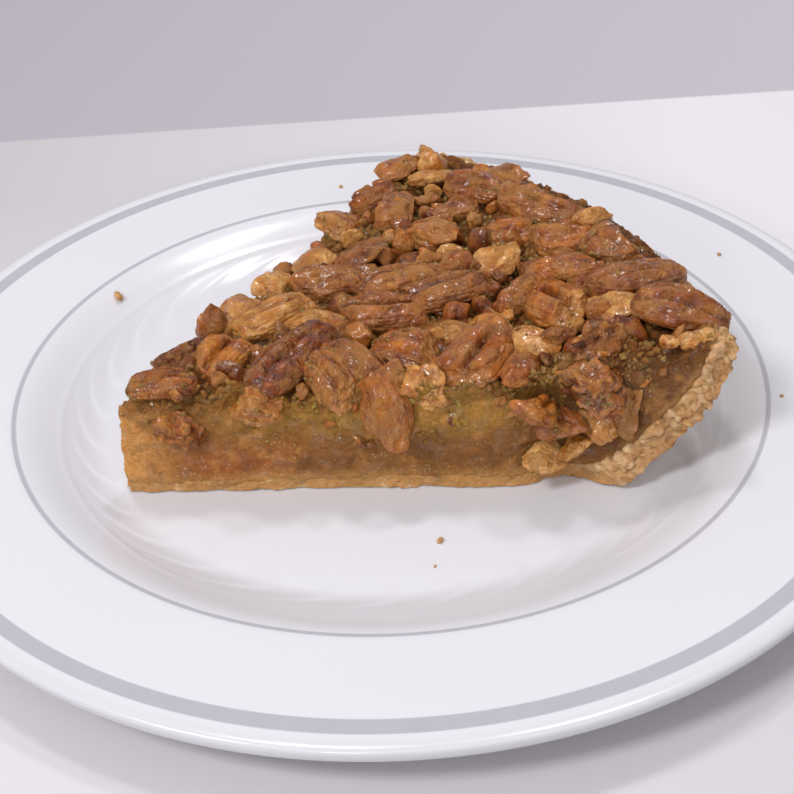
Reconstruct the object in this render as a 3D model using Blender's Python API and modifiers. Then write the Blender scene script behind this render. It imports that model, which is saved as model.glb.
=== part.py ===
"""A slice of pecan pie on its dinner plate, at real size.

Metres, +Z up. The origin is the middle of the plate's foot, on the table. The slice points to -X, its crust is
at +X, and the cut face that looks to -Y is its front. The slice's own pieces are modelled in a frame of their own:
X runs from the slice's point along the front cut, Y runs into the slice, and Z is 0 under the crust.
"""

import math
from collections import namedtuple

import bmesh
import bpy
from mathutils import Euler, Matrix, Vector, noise

MM = 0.001
GAP = 0.3 * MM  # air between two pieces that touch

# Plate
PLATE_RADIUS = 114 * MM
RING_RADIUS = 85 * MM  # the thin printed ring, where the rim turns down into the well
FLUTES_FROM = 65 * MM  # inner and outer ends of the swirled flutes round the well
FLUTES_TO = 74 * MM
FLUTE_COUNT = 32
FLUTE_DEPTH = 0.45 * MM
FLUTE_SWIRL = math.radians(9)
PLATE_WALL = 1.9 * MM
FOOT_HEIGHT = 3.6 * MM
FOOT_OUTER = 60.5 * MM
FOOT_WIDTH = 2.5 * MM
FLOOR_TOP = FOOT_HEIGHT + PLATE_WALL
WELL_DEPTH = 7.6 * MM
RIM_RISE = 0.4 * MM
RIM_TOP = FLOOR_TOP + WELL_DEPTH
LIP_DROP = 1.6 * MM
PLATE_STEPS = 2 * FLUTE_COUNT

# Slice
WEDGE = math.radians(60)
SLICE_POINT = Vector((-58.2 * MM, -28.4 * MM, FLOOR_TOP + GAP))
SLICE_TURN = math.radians(-3.4)
POINT_RADIUS = 1.2 * MM
SLICE_STEPS = 16
BASE_RADIUS = 107 * MM  # the crust's outer foot and outer top edge
TOP_RADIUS = 129 * MM
BASE_THICK = 3.0 * MM
CRUST_FRONT = 35 * MM  # the crust's height at the front cut, and where it has slumped towards the back cut
CRUST_BACK = 23.5 * MM
CRUST_SLUMP = math.radians(14)  # how far round it drops most of that
FILLING_POINT = 22.0 * MM  # the filling's height at the slice's point and against the crust
FILLING_RIM = 33.0 * MM
FILLING_RISES_FROM = 55 * MM
FILLING_TILT_POINT = 0.8 * MM  # how much lower its top lies along the back cut
FILLING_TILT_RIM = 8.0 * MM
NOTCH_AT = Vector((94 * MM, -0.8 * MM, 1.2 * MM))  # where the foot of the front cut has crumbled away
NOTCH_SIZE = Vector((7.5 * MM, 4.8 * MM, 4.4 * MM))
TOP = 1.0  # marks a point of the filling's section that lies on its top

# A pecan piece: where its middle is (along and into the slice), how far that is above the filling's top, the way its
# long axis points, how far its nose is raised, how it is rolled, and its size. A height of its own, not a lift, is
# given to the pieces that show in the front cut.
Nut = namedtuple("Nut", "kind x y lift heading nose roll length width")
TOPPING = (
    Nut("half", 37, 12, 3.4, 58, 4, -12, 25.5, 12.5),
    Nut("half", 119, 13.5, 3.4, -14, -8, 6, 20, 13),
    Nut("half", 111, 28, 3.2, 12, 2, -8, 21.5, 13.5),
    Nut("half", 56, 30, 3, 2, 3, 8, 19.5, 11.5),
    Nut("half", 71, 35, 3.4, 25, 0, -10, 19.5, 13.5),
    Nut("half", 60, 44, 2.8, 20, 4, 168, 21.5, 11.5),
    Nut("snapped", 75.5, 6, 3.2, 238, -14, 6, 17, 14.5),
    Nut("snapped", 47.5, 3.5, 3, -52, -10, 14, 16, 11.5),
    Nut("lobe", 53, 12, 3.2, -38, 4, -16, 17, 10),
    Nut("snapped", 33, 33, 3.2, 32, 6, 160, 19.5, 13.5),
    Nut("snapped", 63, 14, 3.2, -18, 8, 10, 15, 12.5),
    Nut("half", 10.5, 5, 2.8, 4, 2, -6, 15, 10),
    Nut("snapped", 95, 21, 3.6, -58, 14, 16, 17, 13.5),
    Nut("lobe", 93, 69, 3.4, -28, 3, 20, 21.5, 10),
    Nut("half", 43, 45, 2.8, -4, 4, 8, 18, 11.5),
    Nut("snapped", 98, 37, 3.4, 8, 6, -14, 16, 12.5),
    Nut("half", 77, 80, 3.2, -24, 4, 6, 16, 12.5),
    Nut("lobe", 97, 53, 3.2, -12, 6, 12, 15, 10),
    Nut("lobe", 109, 46, 3, -34, 2, 10, 14, 10),
    Nut("chunk", 67, 61, 3.2, -50, 12, 0, 13, 11.5),
    Nut("snapped", 22, 17, 3, 68, 8, 10, 13, 11.5),
    Nut("lobe", 12, 17, 3.2, 44, 12, 20, 13, 8.5),
    Nut("chunk", 23.5, 31, 2.6, 64, 6, 12, 12, 10),
    Nut("chunk", 40.5, 27, 3.2, -30, 10, -8, 12, 9.5),
    Nut("lobe", 86, 31, 3.4, 68, 8, -10, 16, 9),
    Nut("lobe", 82, 20, 3, -62, 6, 16, 13, 8.5),
    Nut("lobe", 70, 19, 3.2, -8, 8, 172, 14, 9),
    Nut("chunk", 105.5, 16.5, 4.6, -20, 10, 6, 12, 9),
    Nut("chunk", 88.5, 10, 3.4, 20, 14, 24, 9.5, 9.5),
    Nut("chunk", 101, 6, 4.2, 34, 6, -12, 12, 10),
    Nut("lobe", 42, 69, 3, 135, -2, 14, 12, 9),
    Nut("chunk", 50, 55, 3.2, 30, 10, -20, 12, 10.5),
    Nut("lobe", 55, 73, 3.2, 80, 8, -14, 13, 9),
    Nut("lobe", 50.5, 82.5, 3, 60, 6, 10, 13, 9),
    Nut("chunk", 82, 45, 3.6, 16, 18, 12, 9.5, 9.5),
    Nut("snapped", 87, 57, 3.4, 10, 6, -6, 13, 10),
    Nut("chunk", 73, 71, 3, 58, 6, 14, 10.5, 9.5),
    Nut("chunk", 84.5, 84, 3, -44, 8, 10, 10.5, 9),
    Nut("chunk", 57.5, 94, 3.4, 40, 12, 0, 9.5, 8.5),
    Nut("chunk", 66, 88, 3, 10, 8, -16, 9.5, 8.5),
    Nut("chunk", 38, 53.5, 2.8, 30, 8, 8, 9.5, 8.5),
    Nut("chunk", 31, 45, 2.6, 70, 5, 12, 9.5, 8.5),
    Nut("chunk", 84, 3, 2.6, 8, 4, 10, 9.5, 8),
    Nut("chunk", 65.5, 3, 2, -24, 2, 18, 10.5, 9),
    Nut("chunk", 121.8, 3, 1.6, 10, -4, 8, 9, 6),
)
FRONT_CUT = (
    Nut("chunk", 58, 0, 20.5, 296, -50, 10, 17, 12),
    Nut("chunk", 30, 0, 21.5, -20, 10, 20, 10, 8),
    Nut("chunk", 13.5, 1.5, 15.5, 10, -4, 60, 12, 9),
    Nut("lobe", 87, -0.5, 22, 62, -24, 24, 13, 9),
    Nut("chunk", 92.5, -1, 16.8, -34, -18, 36, 11, 8.5),
    Nut("chunk", 101, -1.5, 26.2, -28, -30, 14, 12, 9.5),
    Nut("lobe", 108, 0, 20.5, 262, -66, 84, 15, 8),
    Nut("chunk", 90.5, -0.5, 8.6, 24, 10, 30, 9, 8),
    Nut("chunk", 97.5, 0, 10.6, 34, 20, -24, 10, 6.5),
    Nut("chunk", 101.5, 0.5, 15.8, -36, -20, 40, 9, 7),
)
NUT_THICKNESS = 0.62  # of its width
NUT_BELLY = 0.62  # depth of the flat side, as a share of the round side's
GROOVE = 0.24  # depth of the long groove, as a share of the radius

COLOURS = {  # linear RGB, roughness
    "plate": ((0.80, 0.80, 0.83), 0.18),
    "crust": ((0.55, 0.33, 0.14), 0.85),
    "filling": ((0.30, 0.17, 0.06), 0.35),
    "pecan_skin": ((0.26, 0.10, 0.035), 0.35),
    "pecan_flesh": ((0.50, 0.28, 0.10), 0.45),
}


def clear_scene():
    for thing in list(bpy.data.objects):
        bpy.data.objects.remove(thing)


def collection(name):
    made = bpy.data.collections.new(name)
    bpy.context.scene.collection.children.link(made)
    return made


def material(name):
    colour, roughness = COLOURS[name]
    made = bpy.data.materials.new(name)
    made.use_nodes = True
    shader = made.node_tree.nodes["Principled BSDF"]
    shader.inputs["Base Color"].default_value = (*colour, 1)
    shader.inputs["Roughness"].default_value = roughness
    shader.inputs["Metallic"].default_value = 0
    return made


def round_shading(mesh):
    mesh.shade_smooth()
    mesh.set_sharp_from_angle(angle=math.radians(40))


def add_object(name, mesh, into, finish=None):
    thing = bpy.data.objects.new(name, mesh)
    into.objects.link(thing)
    if finish:
        mesh.materials.append(finish)
    return thing


def smooth(t):
    """0 to 1 with a soft start and end."""
    t = min(1.0, max(0.0, t))
    return t * t * (3 - 2 * t)


def wander(point, scale, seed):
    """Soft unevenness from -1 to 1 at a point, with features of about scale metres."""
    return noise.noise(point / scale + Vector((seed, 2 * seed, 0)))


# ---------------------------------------------------------------- plate


def plate_top(radius):
    """Height of the plate's upper face: flat floor, one soft S up the well's side, and a rim that rises a little."""
    side = smooth((radius - FLUTES_FROM) / (RING_RADIUS + 2 * MM - FLUTES_FROM))
    rim = max(0.0, radius - RING_RADIUS) / (PLATE_RADIUS - RING_RADIUS)
    return FLOOR_TOP + WELL_DEPTH * side + RIM_RISE * rim


def plate_profile():
    """(radius, height) from the middle of the upper face, round the lip and the foot, to the middle of the underside."""
    side = [FLUTES_FROM + step * (RING_RADIUS - FLUTES_FROM) / 6 for step in range(7)]
    upper = [0, *side, 0.5 * (RING_RADIUS + PLATE_RADIUS), PLATE_RADIUS - 1.5 * MM]
    points = [(radius, plate_top(radius)) for radius in upper]
    edge = plate_top(PLATE_RADIUS)
    points += [
        (PLATE_RADIUS, edge - 0.8 * MM),
        (PLATE_RADIUS, edge - PLATE_WALL - LIP_DROP),
        (PLATE_RADIUS - 1.2 * MM, edge - PLATE_WALL - LIP_DROP),
        (PLATE_RADIUS - 2.2 * MM, edge - PLATE_WALL),
    ]
    under = [radius for radius in reversed(side) if radius > FLUTES_FROM]
    points += [(radius, plate_top(radius) - PLATE_WALL) for radius in under]
    points += [
        (FOOT_OUTER + 0.8 * MM, FOOT_HEIGHT),
        (FOOT_OUTER, 0),
        (FOOT_OUTER - FOOT_WIDTH, 0),
        (FOOT_OUTER - FOOT_WIDTH - 0.8 * MM, FOOT_HEIGHT),
        (0, FOOT_HEIGHT),
    ]
    return points


def turned_mesh(name, points, steps):
    """A profile in the XZ plane, turned a whole circle about Z."""
    outline = bpy.data.meshes.new(name + "_outline")
    corners = [(radius, 0, height) for radius, height in points]
    outline.from_pydata(corners, [(i, i + 1) for i in range(len(corners) - 1)], [])
    guide = bpy.data.objects.new(name + "_outline", outline)
    bpy.context.scene.collection.objects.link(guide)
    screw = guide.modifiers.new("Turn", "SCREW")
    screw.axis = "Z"
    screw.steps = screw.render_steps = steps
    screw.use_merge_vertices = True
    screw.merge_threshold = 0.01 * MM
    view = bpy.context.evaluated_depsgraph_get()
    mesh = bpy.data.meshes.new_from_object(guide.evaluated_get(view))
    bpy.data.objects.remove(guide)
    return mesh


def flute_relief(radius, angle):
    """Flutes that swirl round the foot of the well's side, fading out at both ends."""
    across = (radius - FLUTES_FROM) / (FLUTES_TO - FLUTES_FROM)
    if not 0 < across < 1:
        return 0.0
    turn = (angle + FLUTE_SWIRL * across) * FLUTE_COUNT / math.tau
    return FLUTE_DEPTH * (0.5 + 0.5 * math.cos(math.tau * turn)) * math.sin(math.pi * across)


def make_plate(into):
    mesh = turned_mesh("plate", plate_profile(), PLATE_STEPS)
    for vertex in mesh.vertices:
        x, y, z = vertex.co
        radius = math.hypot(x, y)
        if z > plate_top(radius) - 0.5 * PLATE_WALL:
            vertex.co.z += flute_relief(radius, math.atan2(y, x))
    round_shading(mesh)
    return add_object("plate", mesh, into, material("plate"))


# ---------------------------------------------------------------- crust and filling


def crust_height(angle):
    """The crust stands high at the front cut and is slumped behind it."""
    return CRUST_BACK + (CRUST_FRONT - CRUST_BACK) * math.exp(-angle / CRUST_SLUMP)


def filling_height(radius, angle):
    """Height of the filling's top: low at the slice's point, higher at the crust, lower along the back cut."""
    out = smooth((radius - FILLING_RISES_FROM) / (TOP_RADIUS - FILLING_RISES_FROM))
    tilt = FILLING_TILT_POINT + (FILLING_TILT_RIM - FILLING_TILT_POINT) * out
    return FILLING_POINT + (FILLING_RIM - FILLING_POINT) * out - tilt * angle / WEDGE


def wall_radius(rise):
    """Radius of the crust's outer face at a share of its height: it leans out and steepens towards the top."""
    return BASE_RADIUS + (TOP_RADIUS - BASE_RADIUS) * (1 - max(0.0, 1 - rise) ** 1.7)


def inner_wall(rise):
    """(radius, height) of the crust's inner face. The crust is thick at its foot and thin at its edge."""
    thickness = (10.0 - 5.5 * rise) * MM
    return wall_radius(rise) - thickness, CRUST_FRONT * rise


def crust_section():
    """(radius, height) of the crust's section at the front cut, from its foot up and over to the slice's point."""
    outside = [(wall_radius(t), CRUST_FRONT * t) for t in (0.2, 0.4, 0.6, 0.8, 1.0)]
    foot = [(BASE_RADIUS - 1.5 * MM, 0), (BASE_RADIUS + 0.4 * MM, 1.2 * MM)]
    crest = (TOP_RADIUS - 2.4 * MM, CRUST_FRONT + 0.9 * MM)
    inside = [inner_wall(t) for t in (1.0, 0.8, 0.6, 0.4, 0.2)]
    along = [BASE_RADIUS * t for t in (0.9, 0.7, 0.5, 0.25)]
    floor = [(radius, BASE_THICK) for radius in along]
    under = [(radius, 0) for radius in reversed(along)]
    point = [(POINT_RADIUS, BASE_THICK), (POINT_RADIUS, 0)]
    return [*foot, *outside, crest, *inside, *floor, *point, *under]


def filling_section():
    """(radius, height) of the filling's section at the front cut. Its top's heights are filled in afterwards."""
    floor = BASE_THICK + GAP
    along = [(BASE_RADIUS * t, floor) for t in (0.25, 0.5, 0.7)]
    foot = (BASE_RADIUS * 0.9 - 1.5 * GAP, floor)
    wall = [(radius - 1.5 * GAP, height) for radius, height in map(inner_wall, (0.2, 0.4, 0.6, 0.8, 0.93))]
    top = [(wall[-1][0] * t, TOP) for t in (0.88, 0.76, 0.64, 0.52, 0.4, 0.28, 0.16, 0.07)]
    return [*along, foot, *wall, *top, (POINT_RADIUS, TOP), (POINT_RADIUS, floor)]


def wedge_mesh(name, section):
    """A filled section in the XZ plane, swept about Z from the front cut to the back cut."""
    bm = bmesh.new()
    corners = [bm.verts.new((radius, 0, height)) for radius, height in section]
    face = bm.faces.new(corners)
    bmesh.ops.spin(
        bm,
        geom=[face, *face.edges, *face.verts],
        cent=(0, 0, 0),
        axis=(0, 0, 1),
        angle=WEDGE,
        steps=SLICE_STEPS,
        use_duplicate=False,
    )
    bmesh.ops.triangulate(bm, faces=[f for f in bm.faces if len(f.verts) > 4])
    bmesh.ops.recalc_face_normals(bm, faces=bm.faces)
    mesh = bpy.data.meshes.new(name)
    bm.to_mesh(mesh)
    bm.free()
    return mesh


def lowered(height, angle):
    """A height at the front cut, scaled to the crust's lower wall further round."""
    share = (crust_height(angle) - BASE_THICK) / (CRUST_FRONT - BASE_THICK)
    return BASE_THICK + (height - BASE_THICK) * share if height > BASE_THICK else height


def make_crust(into, slice_frame):
    mesh = wedge_mesh("crust", crust_section())
    for vertex in mesh.vertices:
        radius = math.hypot(vertex.co.x, vertex.co.y)
        angle = math.atan2(vertex.co.y, vertex.co.x)
        rise = vertex.co.z / CRUST_FRONT
        vertex.co.z = lowered(vertex.co.z, angle)
        if rise > 0.1 and radius > wall_radius(rise) - 3 * MM:
            outward = Vector((vertex.co.x, vertex.co.y, 0)).normalized()
            vertex.co += outward * 0.7 * MM * wander(vertex.co, 9 * MM, 3)
            vertex.co.z += 1.0 * MM * rise * wander(vertex.co, 12 * MM, 7)
    thing = add_object("crust", mesh, into, material("crust"))
    thing.parent = slice_frame
    return thing


def make_filling(into, slice_frame):
    mesh = wedge_mesh("filling", filling_section())
    for vertex in mesh.vertices:
        radius = math.hypot(vertex.co.x, vertex.co.y)
        angle = math.atan2(vertex.co.y, vertex.co.x)
        if vertex.co.z == TOP:
            rounding = 1.6 * MM * math.exp(-radius / (4 * MM))
            vertex.co.z = filling_height(radius, angle) - rounding
            vertex.co.z += 0.9 * MM * wander(vertex.co, 14 * MM, 5)
        else:
            vertex.co.z = lowered(vertex.co.z, angle)
    thing = add_object("filling", mesh, into, material("filling"))
    thing.parent = slice_frame
    return thing


# ---------------------------------------------------------------- pecans


def nut_mesh(name, kind, length, width):
    """A pecan half is a long rounded form, flatter below, with a groove down its round side. The other kinds are the
    same form snapped across: once for a snapped half, twice for a chunk, and once lengthwise for a single lobe."""
    bm = bmesh.new()
    bmesh.ops.create_uvsphere(bm, u_segments=8, v_segments=5, radius=1)
    bmesh.ops.rotate(bm, verts=bm.verts, matrix=Matrix.Rotation(math.radians(90), 3, "Y"))
    depth = width * NUT_THICKNESS
    for vertex in bm.verts:
        x, y, z = vertex.co
        along = 1 - 0.22 * max(0.0, x)  # narrower towards the nose
        groove = 1 - GROOVE * math.exp(-((y / 0.3) ** 2)) * (1 - x * x)
        belly = 1 if z > 0 else NUT_BELLY
        bump = 1 + 0.12 * wander(vertex.co, 0.8, length * 1000)
        vertex.co = Vector(
            (
                x * length / 2,
                y * along * bump * width / 2,
                z * along * bump * groove * belly * depth / 2,
            )
        )
    cuts = {
        "half": (),
        "snapped": (((0.24, 0, 0), (1, 0.3, 0.25)),),
        "lobe": (((0, 0.06, 0), (0.12, 1, 0.1)),),
        "chunk": (((0.27, 0, 0), (1, -0.35, 0.2)), ((-0.27, 0, 0), (-1, -0.3, 0.3))),
    }
    for point, normal in cuts[kind]:
        at = Vector((point[0] * length, point[1] * width, 0))
        parts = [*bm.verts, *bm.edges, *bm.faces]
        bmesh.ops.bisect_plane(bm, geom=parts, plane_co=at, plane_no=normal, clear_outer=True)
        bmesh.ops.holes_fill(bm, edges=[e for e in bm.edges if e.is_boundary], sides=0)
    bmesh.ops.recalc_face_normals(bm, faces=bm.faces)
    mesh = bpy.data.meshes.new(name)
    bm.to_mesh(mesh)
    bm.free()
    return mesh


def nut_size(nut):
    """Length and width of the whole half that a piece was broken from."""
    longer = {"half": 1.0, "lobe": 1.0, "snapped": 1.3, "chunk": 1.75}[nut.kind]
    wider = 1.7 if nut.kind == "lobe" else 1.0
    return nut.length * longer * MM, nut.width * wider * MM


def nut_place(nut, height):
    turn = Euler((math.radians(nut.roll), -math.radians(nut.nose), math.radians(nut.heading)))
    return Matrix.LocRotScale(Vector((nut.x * MM, nut.y * MM, height)), turn, None)


def make_nut(name, nut, height, into, cutters, slice_frame, finish):
    """The nut, and a slightly larger copy of it that cuts its socket in what it lies in."""
    length, width = nut_size(nut)
    mesh = nut_mesh(name, nut.kind, length, width)
    round_shading(mesh)
    place = nut_place(nut, height)
    thing = add_object(name, mesh, into, finish)
    thing.parent = slice_frame
    thing.matrix_local = place
    bigger = mesh.copy()
    for vertex in bigger.vertices:
        vertex.co += vertex.normal * 1.25 * GAP
    cutter = add_object(name + "_socket", bigger, cutters)
    cutter.parent = slice_frame
    cutter.matrix_local = place
    cutter.hide_render = True
    cutter.display_type = "WIRE"
    return thing, cutter


def cut(thing, cutter):
    boolean = thing.modifiers.new("Socket", "BOOLEAN")
    boolean.operation = "DIFFERENCE"
    boolean.solver = "EXACT"
    boolean.object = cutter


def box_of(thing):
    corners = [thing.matrix_world @ Vector(corner) for corner in thing.bound_box]
    low = Vector(min(c[i] for c in corners) for i in range(3))
    high = Vector(max(c[i] for c in corners) for i in range(3))
    return low, high


def boxes_meet(one, other):
    (low_a, high_a), (low_b, high_b) = box_of(one), box_of(other)
    return all(low_a[i] < high_b[i] and low_b[i] < high_a[i] for i in range(3))


def make_nuts(into, cutters, slice_frame):
    skin, flesh = material("pecan_skin"), material("pecan_flesh")
    made = []
    heights = []
    for nut in TOPPING:
        angle = min(WEDGE, max(0.0, math.atan2(nut.y, nut.x)))
        top = filling_height(math.hypot(nut.x, nut.y) * MM, angle)
        heights.append(top + nut.lift * MM)
    heights += [nut.lift * MM for nut in FRONT_CUT]
    for number, (nut, height) in enumerate(zip(TOPPING + FRONT_CUT, heights), 1):
        name = f"pecan_{nut.kind}_{number:02d}"
        finish = flesh if nut.kind == "chunk" else skin
        made.append(make_nut(name, nut, height, into, cutters, slice_frame, finish))
    return made


def make_notch(cutters, slice_frame):
    """A rough hollow at the foot of the front cut, where a bit of the base has broken off."""
    bm = bmesh.new()
    bmesh.ops.create_icosphere(bm, subdivisions=2, radius=1)
    for vertex in bm.verts:
        vertex.co *= 1 + 0.25 * wander(vertex.co, 0.7, 11)
        vertex.co = vertex.co * NOTCH_SIZE
    mesh = bpy.data.meshes.new("notch")
    bm.to_mesh(mesh)
    bm.free()
    notch = add_object("notch", mesh, cutters)
    notch.parent = slice_frame
    notch.location = NOTCH_AT
    notch.hide_render = True
    notch.display_type = "WIRE"


def make_sockets(nuts, others, cutters):
    """Each nut is cut clear of the nuts before it that it touches, and the crust and filling clear of every nut."""
    bpy.context.view_layer.update()
    for number, (nut, _) in enumerate(nuts):
        for _, socket in nuts[:number]:
            if boxes_meet(nut, socket):
                cut(nut, socket)
    for thing in others:  # the collection of cutters also holds the notch
        boolean = thing.modifiers.new("Sockets", "BOOLEAN")
        boolean.operation = "DIFFERENCE"
        boolean.solver = "EXACT"
        boolean.operand_type = "COLLECTION"
        boolean.collection = cutters


def main():
    clear_scene()
    part = collection("pecan_pie_slice")
    cutters = collection("cutters")
    slice_frame = bpy.data.objects.new("slice_frame", None)
    part.objects.link(slice_frame)
    slice_frame.location = SLICE_POINT
    slice_frame.rotation_euler = (0, 0, SLICE_TURN)
    make_plate(part)
    crust = make_crust(part, slice_frame)
    filling = make_filling(part, slice_frame)
    nuts = make_nuts(part, cutters, slice_frame)
    make_notch(cutters, slice_frame)
    make_sockets(nuts, (crust, filling), cutters)


main()
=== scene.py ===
"""Dresses a slice of pecan pie on its plate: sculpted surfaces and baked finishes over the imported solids.

Shapes are worked out in millimetres in the slice's own frame, whose X runs from the slice's point along its front
cut, whose Y runs into the slice and whose Z is 0 under the crust, and are then set on the plate in metres.
"""

import math

import bpy
import numpy as np
from mathutils import Matrix, Vector


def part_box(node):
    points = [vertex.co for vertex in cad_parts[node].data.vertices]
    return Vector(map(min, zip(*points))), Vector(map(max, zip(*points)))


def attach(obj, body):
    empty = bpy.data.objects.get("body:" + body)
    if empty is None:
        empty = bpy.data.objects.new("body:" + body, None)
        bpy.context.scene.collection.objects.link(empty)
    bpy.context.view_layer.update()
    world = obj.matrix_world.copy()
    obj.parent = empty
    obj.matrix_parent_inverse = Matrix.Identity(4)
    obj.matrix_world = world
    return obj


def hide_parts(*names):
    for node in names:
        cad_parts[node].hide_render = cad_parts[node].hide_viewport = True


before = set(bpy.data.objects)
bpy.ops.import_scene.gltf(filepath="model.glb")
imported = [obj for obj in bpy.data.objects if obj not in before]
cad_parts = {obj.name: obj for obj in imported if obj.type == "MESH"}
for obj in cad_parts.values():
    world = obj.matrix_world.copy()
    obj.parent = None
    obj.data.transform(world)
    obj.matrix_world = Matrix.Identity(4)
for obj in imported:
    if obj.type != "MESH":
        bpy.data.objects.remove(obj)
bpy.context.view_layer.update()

bl_info = {
    "name": "Pecan pie slice",
    "version": (1, 0, 0),
    "blender": (4, 5, 0),
    "location": "3D View > Sidebar > Pie",
    "description": "Makes the surfaces and finishes of a slice of pecan pie on a plate",
    "category": "Object",
}

MM = 0.001
WEDGE = math.radians(60)
SLICE_POINT = np.array([-58.2, -28.4, 5.8])  # where the slice's frame sits on the plate
SLICE_TURN = math.radians(-3.4)
POINT_RADIUS = 1.2  # the slice's point is a little blunt
BASE_RADIUS = 107.0  # the crust's outer foot and outer top edge
TOP_RADIUS = 129.0
BASE_THICK = 3.0
CRUST_FRONT = 35.0  # the crust's height at the front cut, and slumped behind it
CRUST_BACK = 23.5
CRUST_SLUMP = math.radians(14)
FILLING_POINT = 22.0  # the filling's height at the point and against the crust
FILLING_RIM = 33.0
FILLING_RISES_FROM = 55.0

# Each pecan piece's skin in the order of the pieces' numbers: how light it is, from 0, nearly black, to 1, pale, and
# how orange, from 0, grey-brown, to 1, red-orange
SKINS = (
    ((0.26, 1.00), (0.41, 0.66), (0.47, 0.42), (0.41, 0.72), (0.47, 0.50), (0.56, 0.45), (0.45, 1.00), (0.55, 0.52))
    + ((0.46, 0.38), (0.82, 0.68), (0.47, 1.00), (0.44, 0.90), (0.58, 0.95), (0.50, 0.52), (0.50, 0.45), (0.56, 0.85))
    + ((0.42, 0.72), (0.54, 0.75), (0.50, 0.46), (0.55, 0.90), (0.64, 0.90), (0.22, 0.60), (0.62, 0.76), (0.72, 0.70))
    + ((0.44, 0.82), (0.74, 0.72), (0.60, 0.35), (0.80, 0.72), (0.72, 0.72), (0.31, 0.60), (0.60, 0.60), (0.38, 0.45))
    + ((0.58, 0.50), (0.42, 0.60), (0.70, 0.66), (0.52, 0.85), (0.40, 0.55), (0.46, 0.70), (0.50, 0.80), (0.74, 0.70))
    + ((0.70, 0.62), (0.80, 0.60), (0.40, 1.00), (0.64, 0.80), (0.80, 0.85), (0.46, 1.00), (0.58, 0.88), (0.46, 0.95))
    + ((0.62, 0.96), (0.42, 0.96), (0.40, 0.60), (0.52, 0.30), (0.90, 0.60), (0.70, 0.86), (0.62, 0.50))
)
GROOVED = (4, 5, 6, 7, 9, 13, 21, 26, 32)  # the pieces that show the deep channel between their two lobes
CRUMBLY = (30, 44, 47, 48, 51)  # the pieces that are crumbs stuck together
# other numbers to draw these pieces' random shapes from
DRAWN_ANEW = {30: 1030, 31: 231, 35: 1335, 39: 539, 42: 1742, 44: 344, 45: 1245, 46: 1046, 47: 147, 48: 948}
DRAWN_ANEW |= {50: 450, 51: 351, 53: 553, 55: 1755}


# ---------------------------------------------------------------- arithmetic of rough surfaces


def soft_step(value, start, end):
    """0 below start and 1 above end, with the curve 3t^2 - 2t^3 between them."""
    t = np.clip((value - start) / (end - start), 0, 1)
    return t * t * (3 - 2 * t)


def lattice_value(cell, seed):
    """A fixed number from 0 to 1 for each whole-number cell, from multiplied and shifted bits of its three numbers."""
    x, y, z = (cell[..., i].astype(np.int64) for i in range(3))
    bits = (x * 374761393 + y * 668265263 + z * 2246822519 + seed * 3266489917) & 0xFFFFFFFF
    bits = ((bits ^ (bits >> 15)) * 2654435761) & 0xFFFFFFFF
    bits = ((bits ^ (bits >> 13)) * 1274126177) & 0xFFFFFFFF
    return (bits ^ (bits >> 16)) / 4294967295.0


def swell(points, size, seed):
    """Smooth unevenness from -1 to 1 with features of about size: lattice values blended along each axis by 6t^5 -
    15t^4 + 10t^3."""
    scaled = np.asarray(points) / size + 31.7 * seed
    cell = np.floor(scaled)
    t = scaled - cell
    t = t * t * t * (t * (t * 6 - 15) + 10)
    total = 0.0
    for corner in np.ndindex(2, 2, 2):
        share = np.prod(np.where(np.array(corner) == 1, t, 1 - t), axis=-1)
        total = total + share * lattice_value(cell + np.array(corner), seed)
    return total * 2 - 1


def rough(points, size, seed, layers=3):
    """swell at size, half size and so on, each layer half as strong and turned against the last, from about -1 to 1."""
    turn = np.array([[0.36, 0.48, -0.8], [-0.8, 0.6, 0.0], [0.48, 0.64, 0.6]])
    total, strength, points = 0.0, 1.0, np.asarray(points)
    for layer in range(layers):
        total = total + strength * swell(points, size, seed + layer)
        points, size, strength = points @ turn, size / 2, strength / 2
    return total / (2 - 2 ** (1 - layers))


def grains(points, size, seed):
    """For each point, its distance to the nearest of one scattered centre a cell, how much further the next centre is,
    both as shares of size, and the nearest centre's own number from 0 to 1."""
    scaled = np.asarray(points) / size
    cell = np.floor(scaled)
    near = np.full(scaled.shape[:-1], 9.0)
    next_near = near.copy()
    number = np.zeros_like(near)
    for step in np.ndindex(3, 3, 3):
        other = cell + np.array(step) - 1
        centre = other + np.stack([lattice_value(other, seed + axis) for axis in range(3)], -1)
        away = np.linalg.norm(scaled - centre, axis=-1)
        closer = away < near
        next_near = np.where(closer, near, np.minimum(next_near, away))
        number = np.where(closer, lattice_value(other, seed + 7), number)
        near = np.where(closer, away, near)
    return near, next_near - near, number


def block_faces(counts, narrow=1.0):
    """The skin of a block of counts[0] by counts[1] by counts[2] cells: the skin points' places from 0 to 1 along each
    side, and the four-sided faces between them, facing out, with shared edges and no seams. The cells next to the
    block's edges are narrow times as wide as the others, which keeps its edges crisp."""
    shape = np.array(counts) + 1
    grid = np.indices(shape)
    on_skin = ((grid == 0) | (grid == (shape - 1).reshape(3, 1, 1, 1))).any(axis=0)
    number = np.full(shape, -1)
    number[on_skin] = np.arange(on_skin.sum())
    places = grid[:, on_skin].T / np.array(counts)
    inset = (1 - narrow) / np.array(counts)
    places = places + np.where(grid[:, on_skin].T == 1, -inset, 0)
    places = places + np.where(grid[:, on_skin].T == np.array(counts) - 1, inset, 0)
    faces = []
    for axis in range(3):
        for side in (0, -1):
            sheet = np.take(number, side, axis=axis)
            quads = np.stack([sheet[:-1, :-1], sheet[1:, :-1], sheet[1:, 1:], sheet[:-1, 1:]], -1).reshape(-1, 4)
            flip = (side == 0) != (axis == 1)
            faces.append(quads[:, ::-1] if flip else quads)
    return places, np.concatenate(faces)


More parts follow.
